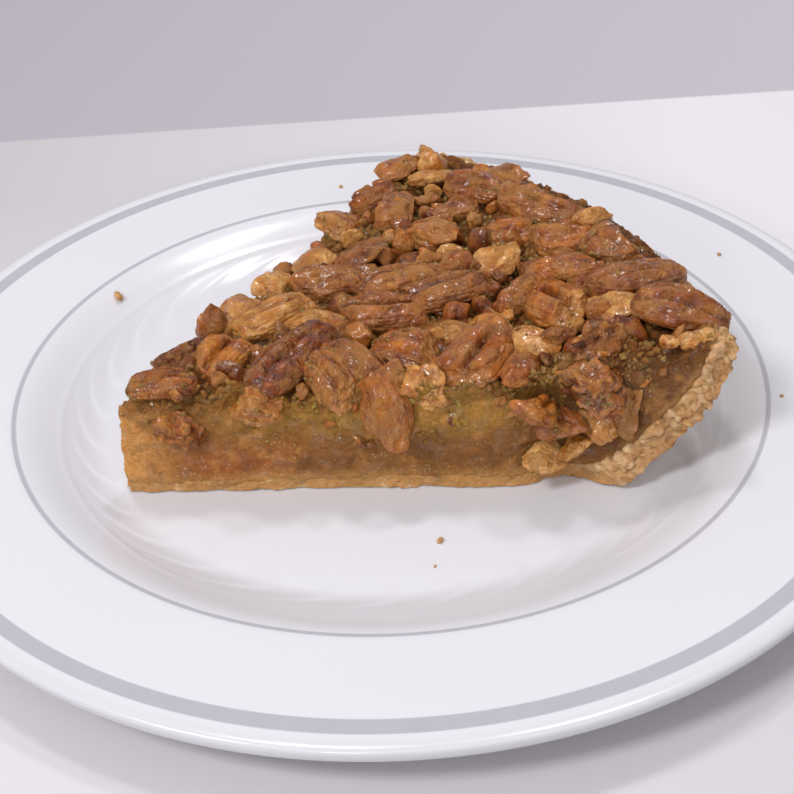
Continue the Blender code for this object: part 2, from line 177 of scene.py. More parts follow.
def without_floor(places, quads):
    """A block's skin less its floor, where the second place is 0, and the floor's edge as a ring of points, along the
    first side, then the third and back."""
    out, up, round_ = places.T
    floor = up == 0
    edge = (out == 0) | (out == 1) | (round_ == 0) | (round_ == 1)
    keep = ~floor | edge
    number = np.cumsum(keep) - 1
    walls = number[quads[~floor[quads].all(axis=1)]]
    ring = np.nonzero(floor & edge)[0]
    o, r = out[ring], round_[ring]
    along = np.select([r == 0, o == 1, r == 1], [o, 1 + r, 3 - o], 4 - r)
    return places[keep], walls, number[ring[np.argsort(along)]]


def vertex_normals(points, quads):
    """Each point's outward direction: the sum of its faces' normals, from the cross product of each face's
    diagonals."""
    across = np.cross(points[quads[:, 2]] - points[quads[:, 0]], points[quads[:, 3]] - points[quads[:, 1]])
    total = np.stack(
        [
            sum(np.bincount(quads[:, corner], across[:, axis], len(points)) for corner in range(4))
            for axis in range(3)
        ],
        -1,
    )
    return total / np.maximum(np.linalg.norm(total, axis=1, keepdims=True), 1e-12)


def set_on_plate(points):
    """Millimetres in the slice's frame to metres in the plate's: turned about Z, then moved to the slice's point."""
    c, s = math.cos(SLICE_TURN), math.sin(SLICE_TURN)
    turned = points @ np.array([[c, s, 0], [-s, c, 0], [0, 0, 1]])
    return (turned + SLICE_POINT) * MM


def taken_off_plate(points):
    """Metres in the plate's frame to millimetres in the slice's."""
    c, s = math.cos(SLICE_TURN), math.sin(SLICE_TURN)
    return (points / MM - SLICE_POINT) @ np.array([[c, -s, 0], [s, c, 0], [0, 0, 1]])


def make_piece(name, points, faces, finish, coat=None):
    """A mesh object at the origin from points in metres and one array of faces, or several with different numbers of
    corners. coat is four numbers a point, kept as the colour attribute that the finish reads."""
    faces = faces if isinstance(faces, (list, tuple)) else [faces]
    mesh = bpy.data.meshes.new(name)
    corners = np.concatenate([f.ravel() for f in faces]).astype(np.int32)
    sides = np.concatenate([np.full(len(f), f.shape[1]) for f in faces])
    mesh.vertices.add(len(points))
    mesh.vertices.foreach_set("co", np.ascontiguousarray(points, dtype=np.float32).ravel())
    mesh.loops.add(len(corners))
    mesh.loops.foreach_set("vertex_index", corners)
    mesh.polygons.add(len(sides))
    mesh.polygons.foreach_set("loop_start", np.concatenate([[0], np.cumsum(sides)[:-1]]).astype(np.int32))
    mesh.update(calc_edges=True)
    if mesh.validate():
        raise RuntimeError(f"{name} had faces that a mesh can't hold")
    mesh.shade_smooth()
    if coat is not None:
        layer = mesh.attributes.new("coat", "FLOAT_COLOR", "POINT")
        layer.data.foreach_set("color", np.ascontiguousarray(coat, dtype=np.float32).ravel())
    mesh.materials.append(finish)
    piece = bpy.data.objects.new(name, mesh)
    bpy.context.scene.collection.objects.link(piece)
    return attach(piece, "root")


def outward(points, quads):
    """The faces, turned round if the volume inside them, the sum of corner . (corner x corner), is negative."""
    a, b, c, d = (points[quads[:, corner]] for corner in range(4))
    inside = np.einsum("ij,ij->", a, np.cross(b, c)) + np.einsum("ij,ij->", a, np.cross(c, d))
    return quads if inside > 0 else quads[:, ::-1]


# ---------------------------------------------------------------- finishes


class Finish:
    """A material under construction: its nodes are added in words and joined as they are made."""

    def __init__(self, name):
        self.material = bpy.data.materials.new(name)
        self.material.use_nodes = True
        self.tree = self.material.node_tree
        self.shader = self.tree.nodes["Principled BSDF"]
        self.place = self.add("ShaderNodeTexCoord").outputs["Object"]

    def add(self, kind, inputs=None, **settings):
        made = self.tree.nodes.new(kind)
        for name, value in settings.items():
            setattr(made, name, value)
        for name, value in (inputs or {}).items():
            self.feed(made.inputs[name], value)
        return made

    def feed(self, socket, value):
        if isinstance(value, bpy.types.NodeSocket):
            self.tree.links.new(value, socket)
        elif isinstance(value, (tuple, list)) and len(value) == 3 and socket.type == "RGBA":
            socket.default_value = (*value, 1)
        else:
            socket.default_value = value

    def surface(self, **inputs):
        for name, value in inputs.items():
            self.feed(self.shader.inputs[name.replace("_", " ")], value)

    def noise(self, size, detail=3.0, rough=0.55, place=None):
        """Cloudy noise, 0 to 1, with features of about size metres."""
        at = place or self.place
        made = self.add("ShaderNodeTexNoise", {"Vector": at, "Scale": 1 / size, "Detail": detail, "Roughness": rough})
        return made.outputs["Fac"]

    def speckle(self, size, feature="F1", output="Distance"):
        made = self.add("ShaderNodeTexVoronoi", {"Vector": self.place, "Scale": 1 / size}, feature=feature)
        return made.outputs[output]

    def span(self, value, low, high, to_low=0.0, to_high=1.0):
        """value from low to high, stretched to to_low and to_high and held there outside."""
        made = self.add(
            "ShaderNodeMapRange",
            {"Value": value, "From Min": low, "From Max": high, "To Min": to_low, "To Max": to_high},
        )
        return made.outputs["Result"]

    def math(self, kind, a, b=0.0):
        made = self.add("ShaderNodeMath", operation=kind)
        self.feed(made.inputs[0], a)
        self.feed(made.inputs[1], b)
        return made.outputs["Value"]

    def blend(self, share, a, b, way="MIX"):
        """Colour a, with colour b over it by share."""
        made = self.add("ShaderNodeMix", data_type="RGBA", blend_type=way)
        self.feed(made.inputs["Factor"], share)
        self.feed(made.inputs[6], a)
        self.feed(made.inputs[7], b)
        return made.outputs[2]

    def stops(self, value, colours):
        """A run of colours along value, each a position and a colour."""
        made = self.add("ShaderNodeValToRGB", {"Fac": value})
        ramp = made.color_ramp
        while len(ramp.elements) < len(colours):
            ramp.elements.new(0.5)
        for stop, (position, colour) in zip(ramp.elements, colours):
            stop.position = position
            stop.color = (*colour, 1)
        return made.outputs["Color"]

    def coat(self):
        """What is painted on the piece's points: the first three numbers as a colour, then all four on their own."""
        made = self.add("ShaderNodeAttribute", attribute_name="coat")
        apart = self.add("ShaderNodeSeparateColor", {"Color": made.outputs["Color"]}).outputs
        return made.outputs["Color"], apart["Red"], apart["Green"], apart["Blue"], made.outputs["Alpha"]

    def bump(self, height, depth, strength=1.0, over=None):
        """Relief whose full height is depth metres."""
        made = self.add("ShaderNodeBump", {"Height": height, "Distance": depth, "Strength": strength})
        if over is not None:
            self.feed(made.inputs["Normal"], over)
        return made.outputs["Normal"]


def china_finish(look):
    """Glossy white with a thin grey ring and a wider silver-grey band, placed by distance from the middle, and
    painted shade on its rolled lip.
    """
    f = Finish("white_glaze")
    apart = f.add("ShaderNodeSeparateXYZ", {"Vector": f.place})
    flat = f.add("ShaderNodeCombineXYZ", {"X": apart.outputs["X"], "Y": apart.outputs["Y"]})
    radius = f.add("ShaderNodeVectorMath", {0: flat.outputs["Vector"]}, operation="LENGTH").outputs["Value"]
    edge = 0.00018

    def band(inner, outer):
        rise = f.span(radius, inner - edge, inner + edge)
        fall = f.span(radius, outer - edge, outer + edge, 1, 0)
        return f.math("MULTIPLY", rise, fall)

    half = look.ring_width / 2
    rings = f.math("MAXIMUM", band(look.ring_radius - half, look.ring_radius + half), band(look.band_inner, look.band_outer))
    top = f.span(apart.outputs["Z"], look.floor_top + 0.004, look.floor_top + 0.0045)
    printed = f.math("MULTIPLY", rings, top)
    worn = f.span(f.noise(0.004, 2), 0.35, 0.65, 0.94, 1.0)
    white_and_lip_shade = f.blend(f.noise(0.05, 2), tuple(look.white), tuple(0.985 * c for c in look.white))
    # painted shade: the rolled lip beyond 111 mm is darkened to 0.86 of the white
    white_and_lip_shade = f.blend(f.span(radius, 0.1112, 0.1136), white_and_lip_shade, tuple(0.86 * c for c in look.white))
    colour = f.blend(f.math("MULTIPLY", printed, worn), white_and_lip_shade, tuple(look.grey))
    smears = f.span(f.noise(0.012, 4), 0.4, 0.75, look.gloss, look.gloss + 0.10)
    f.surface(Base_Color=colour, Roughness=smears, Coat_Weight=0.08, Coat_Roughness=0.08, IOR=1.45)
    f.surface(Normal=f.bump(f.noise(0.02, 2), 0.00004))
    return f.material


def pastry_finish(look):
    """Shortcrust: pale grains in a golden crumb, browner at the raised edges. coat holds how browned and how pale each
    point is, and how much painted shade it gets in the gaps between its crumbs."""
    f = Finish("baked_shortcrust")
    _, browned, pale, deep, moist = f.coat()
    crumb = f.noise(0.0011, 4, 0.65)
    base = f.stops(crumb, [(0.28, tuple(look.shade)), (0.5, tuple(look.golden)), (0.72, tuple(look.pale))])
    base = f.blend(f.math("MULTIPLY", browned, f.span(f.noise(0.006, 3), 0.35, 0.65)), base, tuple(look.browned))
    base = f.blend(pale, base, tuple(look.flour))
    # painted shade: the gaps between crumbs are darkened towards 0.42 of the shade colour
    base = f.blend(f.math("MULTIPLY", deep, 0.75), base, tuple(0.42 * c for c in look.shade))
    base = f.blend(f.math("MULTIPLY", moist, 0.85), base, tuple(look.moist))
    fleck = f.span(f.speckle(0.0016, output="Color"), 0.82, 0.94)
    base = f.blend(f.math("MULTIPLY", fleck, 0.5), base, tuple(look.flour))
    relief = f.bump(f.noise(0.0007, 5, 0.7), 0.0006, 0.8)
    relief = f.bump(f.speckle(0.0011), 0.0004, 0.5, relief)
    f.surface(Base_Color=base, Roughness=0.72, Normal=relief, Subsurface_Weight=0.25, Subsurface_Scale=0.0015)
    f.surface(Specular_IOR_Level=0.2)
    return f.material


def filling_finish(look, name):
    """Set custard and the sugar crackled over it: coat is its colour and how sugary it is. Both vary in cloud-like
    patches 9 mm across and are grainy at 1 mm. The custard is smooth, moist and a little see-through, and the sugar is
    rough, with wet patches. Both carry clusters and curved chains of tiny pale specks, partly sugar grains and partly
    painted glints."""
    f = Finish(name)
    colour, _, _, _, sugary = f.coat()
    cloud = f.span(f.noise(0.009, 3, 0.55), 0.3, 0.7, 0.84, 1.16)
    grain = f.math("SUBTRACT", f.noise(0.0010, 4, 0.7), 0.5)
    grain = f.math("ADD", f.math("MULTIPLY", grain, f.span(sugary, 0, 1, 1.0, 2.0)), 1.0)
    both = f.math("MULTIPLY", cloud, grain)
    grey = f.add("ShaderNodeCombineColor", {"Red": both, "Green": both, "Blue": both}).outputs["Color"]
    base = f.blend(1.0, colour, grey, "MULTIPLY")
    drawn = f.add("ShaderNodeMapping", {"Vector": f.place, "Scale": (0.6, 0.6, 1.7)}).outputs["Vector"]
    # partly sugar grains, partly painted glints: tiny pale specks in stretched patches and along curved lines
    patch = f.span(f.noise(0.0060, 4, 0.7, drawn), 0.57, 0.61)
    line = f.math("ABSOLUTE", f.math("SUBTRACT", f.noise(0.0075, 3, 0.6, drawn), 0.47))
    patch = f.math("MAXIMUM", patch, f.span(line, 0.004, 0.012, 1, 0))
    speck = f.math("MULTIPLY", f.span(f.speckle(0.00075), 0.14, 0.28, 1, 0), patch)
    base = f.blend(f.math("MULTIPLY", speck, 0.7), base, tuple(look.bead_glint))
    smooth = f.bump(f.noise(0.0040, 4, 0.6), 0.0011, 0.55)
    smooth = f.bump(f.noise(0.0012, 4, 0.7), 0.0006, 0.8, smooth)
    height = f.math("MULTIPLY", f.noise(0.0012, 5, 0.75), sugary)
    relief = f.bump(height, 0.0016, 1.0, smooth)
    dull = f.span(sugary, 0, 1, look.wet + 0.08, look.wet + 0.16)
    wet = f.math("ADD", dull, f.span(f.noise(0.0026, 4, 0.6), 0.44, 0.60, 0.0, 0.28))
    glaze = f.bump(f.noise(0.0026, 3, 0.6), 0.0008, 0.9)
    f.surface(Base_Color=base, Roughness=wet, Normal=relief, Subsurface_Weight=0.45, Subsurface_Scale=0.0034)
    coated = f.span(f.noise(0.0030, 4, 0.65), 0.52, 0.60, 0.0, 0.7)
    f.surface(Subsurface_Radius=(1.0, 0.48, 0.20), Coat_Weight=coated, Coat_Roughness=0.08, Coat_Normal=glaze)
    f.surface(Specular_IOR_Level=0.18)
    return f.material


def pecan_finish(look, name="glazed_pecan"):
    """Glazed pecan: coat holds how light the skin is, how much of the point is broken flesh, how much painted shade it
    gets in a groove, a crease or underneath, and how orange it is."""
    f = Finish(name)
    _, tone, flesh, deep, orange = f.coat()
    mottle = f.span(f.noise(0.0036, 4, 0.6), 0.28, 0.72, -0.26, 0.26)
    fine = f.span(f.noise(0.0008, 3, 0.7), 0.25, 0.75, -0.09, 0.09)
    shade = f.math("ADD", f.math("ADD", tone, mottle), fine)
    places = (0.0, 0.25, 0.5, 0.75, 1.0)
    greyer = (look.skin_black, look.bark_dark, look.bark, look.bark_tan, look.skin_pale)
    warmer = (look.skin_black, look.red_dark, look.red, look.orange, look.skin_pale)
    brown = f.stops(shade, [(at, tuple(colour)) for at, colour in zip(places, greyer)])
    amber = f.stops(shade, [(at, tuple(colour)) for at, colour in zip(places, warmer)])
    drift = f.span(f.noise(0.006, 2), 0.3, 0.7, -0.25, 0.25)
    skin = f.blend(f.span(f.math("ADD", orange, drift), 0.1, 0.9), brown, amber)
    meat = f.stops(
        f.math("ADD", f.noise(0.0022, 4, 0.6), f.span(tone, 0, 1, -0.26, 0.16)),
        [(0.28, tuple(look.meat_brown)), (0.5, tuple(look.meat)), (0.72, tuple(look.meat_pale))],
    )
    base = f.blend(f.math("MULTIPLY", flesh, 0.85), skin, meat)
    # painted shade: grooves, creases and the underside are multiplied by the groove colour
    base = f.blend(f.math("MULTIPLY", deep, 0.85), base, tuple(look.groove), "MULTIPLY")
    char = f.span(f.noise(0.0052, 3, 0.5), 0.70, 0.76)
    base = f.blend(f.math("MULTIPLY", char, 0.45), base, tuple(look.skin_black))
    crust = f.span(f.noise(0.0055, 4, 0.65), 0.48, 0.58)
    grit = f.math("MULTIPLY", f.noise(0.0009, 4, 0.75), crust)
    base = f.blend(f.math("MULTIPLY", crust, 0.5), base, tuple(look.glaze))
    # partly sugar grains, partly painted glints: tiny pale specks in patches of the glaze
    patch = f.span(f.noise(0.0040, 4, 0.7), 0.52, 0.60)
    speck = f.math("MULTIPLY", f.span(f.speckle(0.0010), 0.10, 0.22, 1, 0), patch)
    base = f.blend(f.math("MULTIPLY", speck, 0.6), base, tuple(look.speck))
    glaze = f.bump(f.noise(0.0034, 3, 0.5), 0.0010, 0.8)
    glaze = f.bump(f.noise(0.0013, 2, 0.5), 0.00018, 0.9, glaze)
    relief = f.bump(f.noise(0.0010, 4, 0.7), 0.0003, 0.8, glaze)
    relief = f.bump(grit, 0.0009, 0.9, relief)
    wet = f.span(f.noise(0.0030, 3, 0.6), 0.42, 0.60, look.gloss, look.gloss + 0.30)
    f.surface(Base_Color=base, Roughness=wet, Normal=relief, Subsurface_Weight=0.28, Subsurface_Scale=0.0018)
    coated = f.math("MULTIPLY", f.span(f.noise(0.0030, 3, 0.6), 0.44, 0.54, 0.0, 0.95), f.span(crust, 0, 1, 1, 0.5))
    f.surface(Subsurface_Radius=(1.0, 0.42, 0.15), Coat_Weight=coated, Coat_Roughness=0.07, Coat_Normal=glaze)
    f.surface(Specular_IOR_Level=0.14)
    return f.material


# ---------------------------------------------------------------- plate


def plate_height(radius):
    """Upper face: flat, then one soft S up the well's side, then a rim that rises evenly by 0.4 mm."""
    return 5.5 + 7.6 * soft_step(radius, 65, 87) + 0.4 * np.clip((radius - 85) / 29, 0, 1)


def plate_relief(radius, angle):
    """32 flutes round the foot of the well's side: a saw tooth in the angle that swirls with the radius, times a hump
    across the flute's length, and a fine raised line outside them."""
    across = np.clip((radius - 62.5) / 11.0, 0, 1)
    swirl = math.radians(15) * across * across - math.radians(3) * np.sin(math.pi * across)
    turn = (angle + swirl) * 32 / math.tau
    tooth = turn % 1.0
    blade = np.where(tooth < 0.86, tooth / 0.86, (1 - tooth) / 0.14)
    hump = np.sin(math.pi * across) ** 0.8
    line = 0.10 * np.exp(-(((radius - 75.2) / 0.7) ** 2))
    return 0.17 * hump * (soft_step(blade, 0, 1) - 0.5) + line


def plate_outline():
    """(radius, height) in millimetres, from just off the middle of the upper face, over the rounded rim and its small
    turned-down lip, along the underside and the foot, to just off the middle of the underside."""
    upper = np.concatenate([np.linspace(1, 60, 16), np.linspace(61, 90, 70), np.linspace(91, 112.4, 24)])
    top = np.stack([upper, plate_height(upper)], 1)
    roll = np.linspace(0.42 * math.pi, -0.5 * math.pi, 16)
    edge = plate_height(np.array(114.0))
    lip = np.stack([112.9 + 1.1 * np.cos(roll), edge - 1.1 + 1.0 * np.sin(roll)], 1)
    lip[:, 1] -= 1.5 * soft_step(-roll, 0, 0.5 * math.pi)
    under = np.concatenate([np.linspace(111.6, 90, 14), np.linspace(88, 64, 22)])
    below = np.stack([under, plate_height(under) - 1.9], 1)
    foot = np.array(
        [(61.9, 3.6), (61.0, 3.1), (60.7, 1.6), (60.4, 0.35), (59.9, 0.05), (59.2, 0.0), (58.5, 0.05), (58.1, 0.35)]
        + [(57.8, 1.6), (57.4, 3.1), (56.6, 3.6), (40.0, 3.6), (20.0, 3.6), (1.0, 3.6)]
    )
    return np.concatenate([top, lip, below, foot])


class PIE_OT_plate(bpy.types.Operator):
    """Turns the plate, presses its flutes and prints its rings"""

    bl_idname = "pie.plate"
    bl_label = "Plate"

    def execute(self, context):
        look = context.scene.pie_plate
        outline = plate_outline()
        around = 512
        angle = np.linspace(0, math.tau, around, endpoint=False)
        radius = np.repeat(outline[:, :1], around, 1)
        height = np.repeat(outline[:, 1:], around, 1)
        is_top = (np.arange(len(outline)) < 110)[:, None]
        height = height + np.where(is_top, plate_relief(radius, angle[None, :]), 0)
        ring = np.stack([radius * np.cos(angle), radius * np.sin(angle), height], -1).reshape(-1, 3)
        points = np.concatenate([ring, [[0, 0, outline[0, 1]], [0, 0, outline[-1, 1]]]])
        number = np.arange(len(ring)).reshape(len(outline), around)
        turned = np.roll(number, -1, axis=1)
        sides = np.stack([number[:-1], number[1:], turned[1:], turned[:-1]], -1).reshape(-1, 4)
        first = np.stack([np.full(around, len(ring)), number[0], turned[0]], -1)
        last = np.stack([np.full(around, len(ring) + 1), turned[-1], number[-1]], -1)
        plate = make_piece("dinner_plate", points * MM, [sides, first, last], china_finish(look))
        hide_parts("plate")
        return {"FINISHED"}


# ---------------------------------------------------------------- crust, custard and sugar


def crust_height(angle):
    """Highest at the front cut, falling by exp(-angle / 14 degrees) to its slumped height."""
    return CRUST_BACK + (CRUST_FRONT - CRUST_BACK) * np.exp(-angle / CRUST_SLUMP)


def wall_radius(rise):
    """The crust's outer face leans out by 1 - (1 - rise)^1.7 of its lean, rise being the share of its height."""
    return BASE_RADIUS + (TOP_RADIUS - BASE_RADIUS) * (1 - np.clip(1 - rise, 0, 1) ** 1.7)


def wall_thickness(rise):
    return 10.0 - 5.5 * rise


def lowered(height, angle):
    """A height at the front cut, scaled above the base to the lower wall further round."""
    share = (crust_height(angle) - BASE_THICK) / (CRUST_FRONT - BASE_THICK)
    return np.where(height > BASE_THICK, BASE_THICK + (height - BASE_THICK) * share, height)


def filling_height(radius, angle):
    """The filling's top rises by a soft step from 55 mm out to the crust, and is lower along the back cut."""
    out = soft_step(radius, FILLING_RISES_FROM, TOP_RADIUS)
    tilt = 0.8 + 7.2 * out
    blunt = 1.6 * np.exp(-radius / 4)
    return FILLING_POINT + (FILLING_RIM - FILLING_POINT) * out - tilt * angle / WEDGE - blunt


def bell(value, middle, width):
    """1 at the middle and exp(-1) at a width from it."""
    return np.exp(-(((value - middle) / width) ** 2))


def cut_relief(points):
    """How far a cut face swells or is torn, in millimetres: soft lumps 7 mm across, smaller ones 2.4 mm across, drawn a
    little along the knife's way, scattered rounded blisters, and patches of torn crumb 1.5 mm across."""
    drawn = points * np.array([0.6, 0.6, 1.0])
    lumps, _, number = grains(points + 1.2 * rough(points, 4, 36)[:, None], 5.5, 35)
    blisters = np.clip(0.55 - lumps, 0, 1) * np.clip(2.4 * number - 1.2, 0, 1)
    torn = soft_step(rough(drawn, 6, 38), -0.15, 0.35) * np.clip(0.75 - grains(points, 1.5, 39)[0], -0.2, 1)
    return 0.75 * rough(drawn, 7, 31) + 0.36 * rough(points, 2.4, 33) + 1.5 * blisters + 0.45 * torn


def out_of_cuts(points, round_, reach):
    """The outward direction of the nearer cut face, fading to nothing at reach, a share of the wedge, inside it."""
    front = soft_step(reach - round_, 0, reach)[:, None] * np.array([0, -1.0, 0])
    back = soft_step(round_ - 1 + reach, 0, reach)[:, None] * np.array([-math.sin(WEDGE), math.cos(WEDGE), 0])
    both = front + back
    return both / np.maximum(np.linalg.norm(both, axis=1, keepdims=True), 1)


def moat(points):
    """How far a cut face sinks beside the nuts that stand in it: 0.9 mm at their sides, fading over 1.2 mm."""
    standing = [place for place in pecan_places() if place[1] > 45]
    return 0.9 * nearness(points, standing, 1.2)


def cut_offset(points):
    """How far a cut face stands out from its plane: its relief, a third stronger near the top, less the moats."""
    height = points[:, 2] / filling_height(*polar(points))
    return cut_relief(points) * (1 + 0.35 * soft_step(height, 0.45, 0.95)) - moat(points)


def polar(points):
    return np.hypot(points[:, 0], points[:, 1]), np.arctan2(points[:, 1], points[:, 0])


def front_hollow(points):
    """How far the front cut is sunk, in millimetres: a crumbled notch at its foot, the ragged hollow round the nuts near
    the crust and shallow smears elsewhere, each a bell curve in the distance from its middle, fading into the slice."""
    x, y, z = points.T
    depth = 5.0 * bell(x, 95, 6) * bell(z, 1.5, 3.6)
    depth += 3.2 * bell(x, 95, 8) * bell(z, 19, 7)
    depth += 1.2 * bell(x, 14, 7) * bell(z, 13, 4.5)
    depth -= 1.3 * bell(x, 16, 11) * bell(z, 1, 4)
    return depth * soft_step(-y, -9, 0)


class PIE_OT_crust(bpy.types.Operator):
    """Bakes the shortcrust base and wall"""

    bl_idname = "pie.crust"
    bl_label = "Crust"

    def execute(self, context):
        look = context.scene.pie_crust
        places, quads = block_faces((250, 12, 170), 0.15)
        along, across, round_ = places.T
        stops = np.array([0, 0.66, 0.70, 0.76, 0.82, 0.88, 0.94, 1.0])
        rises = np.array([0, 0, 0.03, 0.2, 0.4, 0.6, 0.8, 1.0])
        outer_r = np.interp(along, stops, [POINT_RADIUS, 101, 107, *wall_radius(rises[3:])])
        outer_z = np.interp(along, stops, [0, 0, 1.0, *(CRUST_FRONT * rises[3:])])
        inner_r = np.interp(along, stops, [POINT_RADIUS, 92, 96.5, *(wall_radius(rises[3:]) - wall_thickness(rises[3:]))])
        inner_z = np.interp(along, stops, [BASE_THICK, 3.0, 3.6, *(CRUST_FRONT * rises[3:])])
        radius = outer_r + (inner_r - outer_r) * across
        angle = WEDGE * round_
        height = outer_z + (inner_z - outer_z) * across
        crown = soft_step(along, 0.97, 1.0) * (1 - (2 * across - 1) ** 2)
        height = lowered(height, angle) + 1.1 * crown
        points = np.stack([radius * np.cos(angle), radius * np.sin(angle), height], -1)
        quads = outward(points, quads)
        normal = vertex_normals(points, quads)
        size = look.crumb / MM
        near, gap, number = grains(points + 0.7 * rough(points, 3, 4)[:, None], size, 21)
        near_small, _, _ = grains(points + 0.3 * rough(points, 1.5, 6)[:, None], 0.55 * size, 26)
        lump = rough(points, 6.0, 5)
        wall = soft_step(along, 0.64, 0.74)
        crumbs = np.clip(1 - near * near, 0, 1) * (0.3 + 0.9 * number) + 0.5 * np.clip(1 - near_small**2, 0, 1)
        edge = soft_step(along, 0.70, 0.98)
        relief = (0.30 + 0.60 * wall) * lump + crumbs * (0.30 + 0.62 * wall) - 0.5
        relief += 1.0 * wall * np.clip(rough(points, 2.8, 8), -0.3, 1) * soft_step(across, 0.8, 0.1)
        hidden = soft_step(across, 0.5, 0.95) * soft_step(round_, 0, 0.03) * soft_step(1 - round_, 0, 0.03)
        relief *= 1 - 0.9 * hidden
        faces_out = out_of_cuts(points, round_, 0.012)
        on_cut = np.clip(np.linalg.norm(faces_out, axis=1), 0, 1)
        ragged = np.clip(crumbs - 0.45, 0, 1) * soft_step(rough(points, 7, 12), -0.1, 0.4)
        relief *= 1 - on_cut * (1 - wall)
        points = points + normal * relief[:, None] + faces_out * (cut_relief(points) + 1.1 * ragged)[:, None]
        points[:, 1] += front_hollow(points) * soft_step(points[:, 0], 60, 80)
        points[:, 1] -= 0.8 * bell(points[:, 0], 16, 9) * soft_step(-points[:, 1], -6, 0)
        points[:, 1] -= 1.6 * bell(points[:, 0], 106, 5) * bell(points[:, 2], 3, 5) * soft_step(-points[:, 1], -6, 0)
        points[:, 2] = np.maximum(points[:, 2], -0.1)
        # painted shade: darkest down the narrow gaps between grains, more on the wall
        deep = (1 - soft_step(gap, 0.0, 0.10)) * (0.2 + 0.5 * wall)
        browned = np.clip(0.25 + 0.7 * edge * (1 - across) + 0.3 * lump, 0, 1)
        pale = np.clip((number - 0.60) * 1.9, 0, 0.62) * soft_step(gap, 0.03, 0.15) * (0.3 + 0.7 * wall)
        moist = (1 - wall) * np.clip(0.75 + 0.5 * lump, 0, 1)
        coat = np.stack([browned, pale, deep, moist], -1)
        crust = make_piece("shortcrust", set_on_plate(points), quads, pastry_finish(look), coat)
        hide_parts("crust")
        return {"FINISHED"}


def custard_colour(points, look):
    """The cut face's colours, each laid over the last by a bell curve in the distance from its middle: gold at the
    point and peach low behind it, partly the custard's own colour and partly painted glow of light through it, olive
    under the nuts, dark brown near the crust and golden over the last 3 mm to it."""
    x, _, z = points.T
    colour = np.tile(np.array(look.amber), (len(points), 1))
    wander = 2.5 * rough(points, 9, 14)

    def lay(share, over):
        nonlocal colour
        colour = colour + np.clip(share, 0, 1)[:, None] * (np.array(over) - colour)

    lay(0.8 * soft_step(z + wander, 12, 19) * soft_step(x, 14, 30), look.olive)
    # peach low near the point and gold at it: partly the custard's colour, partly painted glow of light through it
    lay(0.75 * bell(x, 24, 14) * bell(z + wander, 6, 6), look.peach)
    lay(0.95 * soft_step(-x - 0.6 * wander, -16, -3), look.gold)
    lay(0.95 * soft_step(x + wander, 74, 100) * soft_step(z, 3, 10), look.dark)
    lay(0.30 * bell(x, 62, 22) * bell(z + wander, 10, 4), look.dark)
    lay(0.35 * soft_step(rough(points, 5.5, 17), 0.15, 0.5), look.dark)
    lay(0.30 * soft_step(rough(points, 3.5, 19), 0.2, 0.5), look.gold)
    lay(0.85 * soft_step(5.6 - z + 0.8 * wander, 0, 3.6), look.base)
    radius, angle = polar(points)
    rise = np.clip(z / crust_height(angle), 0, 1)
    from_wall = wall_radius(rise) - wall_thickness(rise) - radius + 1.4 * rough(points, 2.6, 18)
    lay(0.75 * soft_step(3.2 - from_wall, 0, 3.0), look.base)
    return colour


def sugar_colour(points, deep, pale, look):
    """The sugar's colours: brown, ambers and pale crumbs by patches of noise, and painted shade, nearly black, down the
    gaps.
    """
    patch = rough(points, 9, 47)[:, None]
    colour = np.array(look.sugar) + soft_step(patch, 0.0, 0.5) * (np.array(look.syrup) - np.array(look.sugar))
    colour = colour + soft_step(-patch, 0.1, 0.5) * 0.6 * (np.array(look.sugar_pale) - colour)
    colour = colour + pale[:, None] * (np.array(look.sugar_pale) - colour)
    # painted shade: nearly black down the gaps
    return colour + deep[:, None] * (np.array(look.gap) - colour)


def topping(points, near, from_cut):
    """How far the sugar stands above the filling's height, in millimetres: lumps 5 mm across, crumbs 2.4 and 1.3 mm
    across parted by cracks, a rise of 3.1 mm against the nuts and a fall of 0.6 mm over the last 4 mm to a cut. Also how
    wide the cracks' sides are, and each crumb's own number."""
    _, gap, number = grains(points + 0.6 * rough(points, 2.5, 44)[:, None], 2.4, 43)
    fine, _, _ = grains(points, 1.3, 48)
    crumbs = soft_step(gap, 0, 0.3) * (0.25 + number)
    height = 1.0 * rough(points, 5.0, 41) + 0.75 * crumbs + 0.45 * np.clip(0.8 - fine, 0, 1) + 3.1 * near
    return height - 0.3 - 0.6 * soft_step(4 - from_cut, 0, 4), gap, number


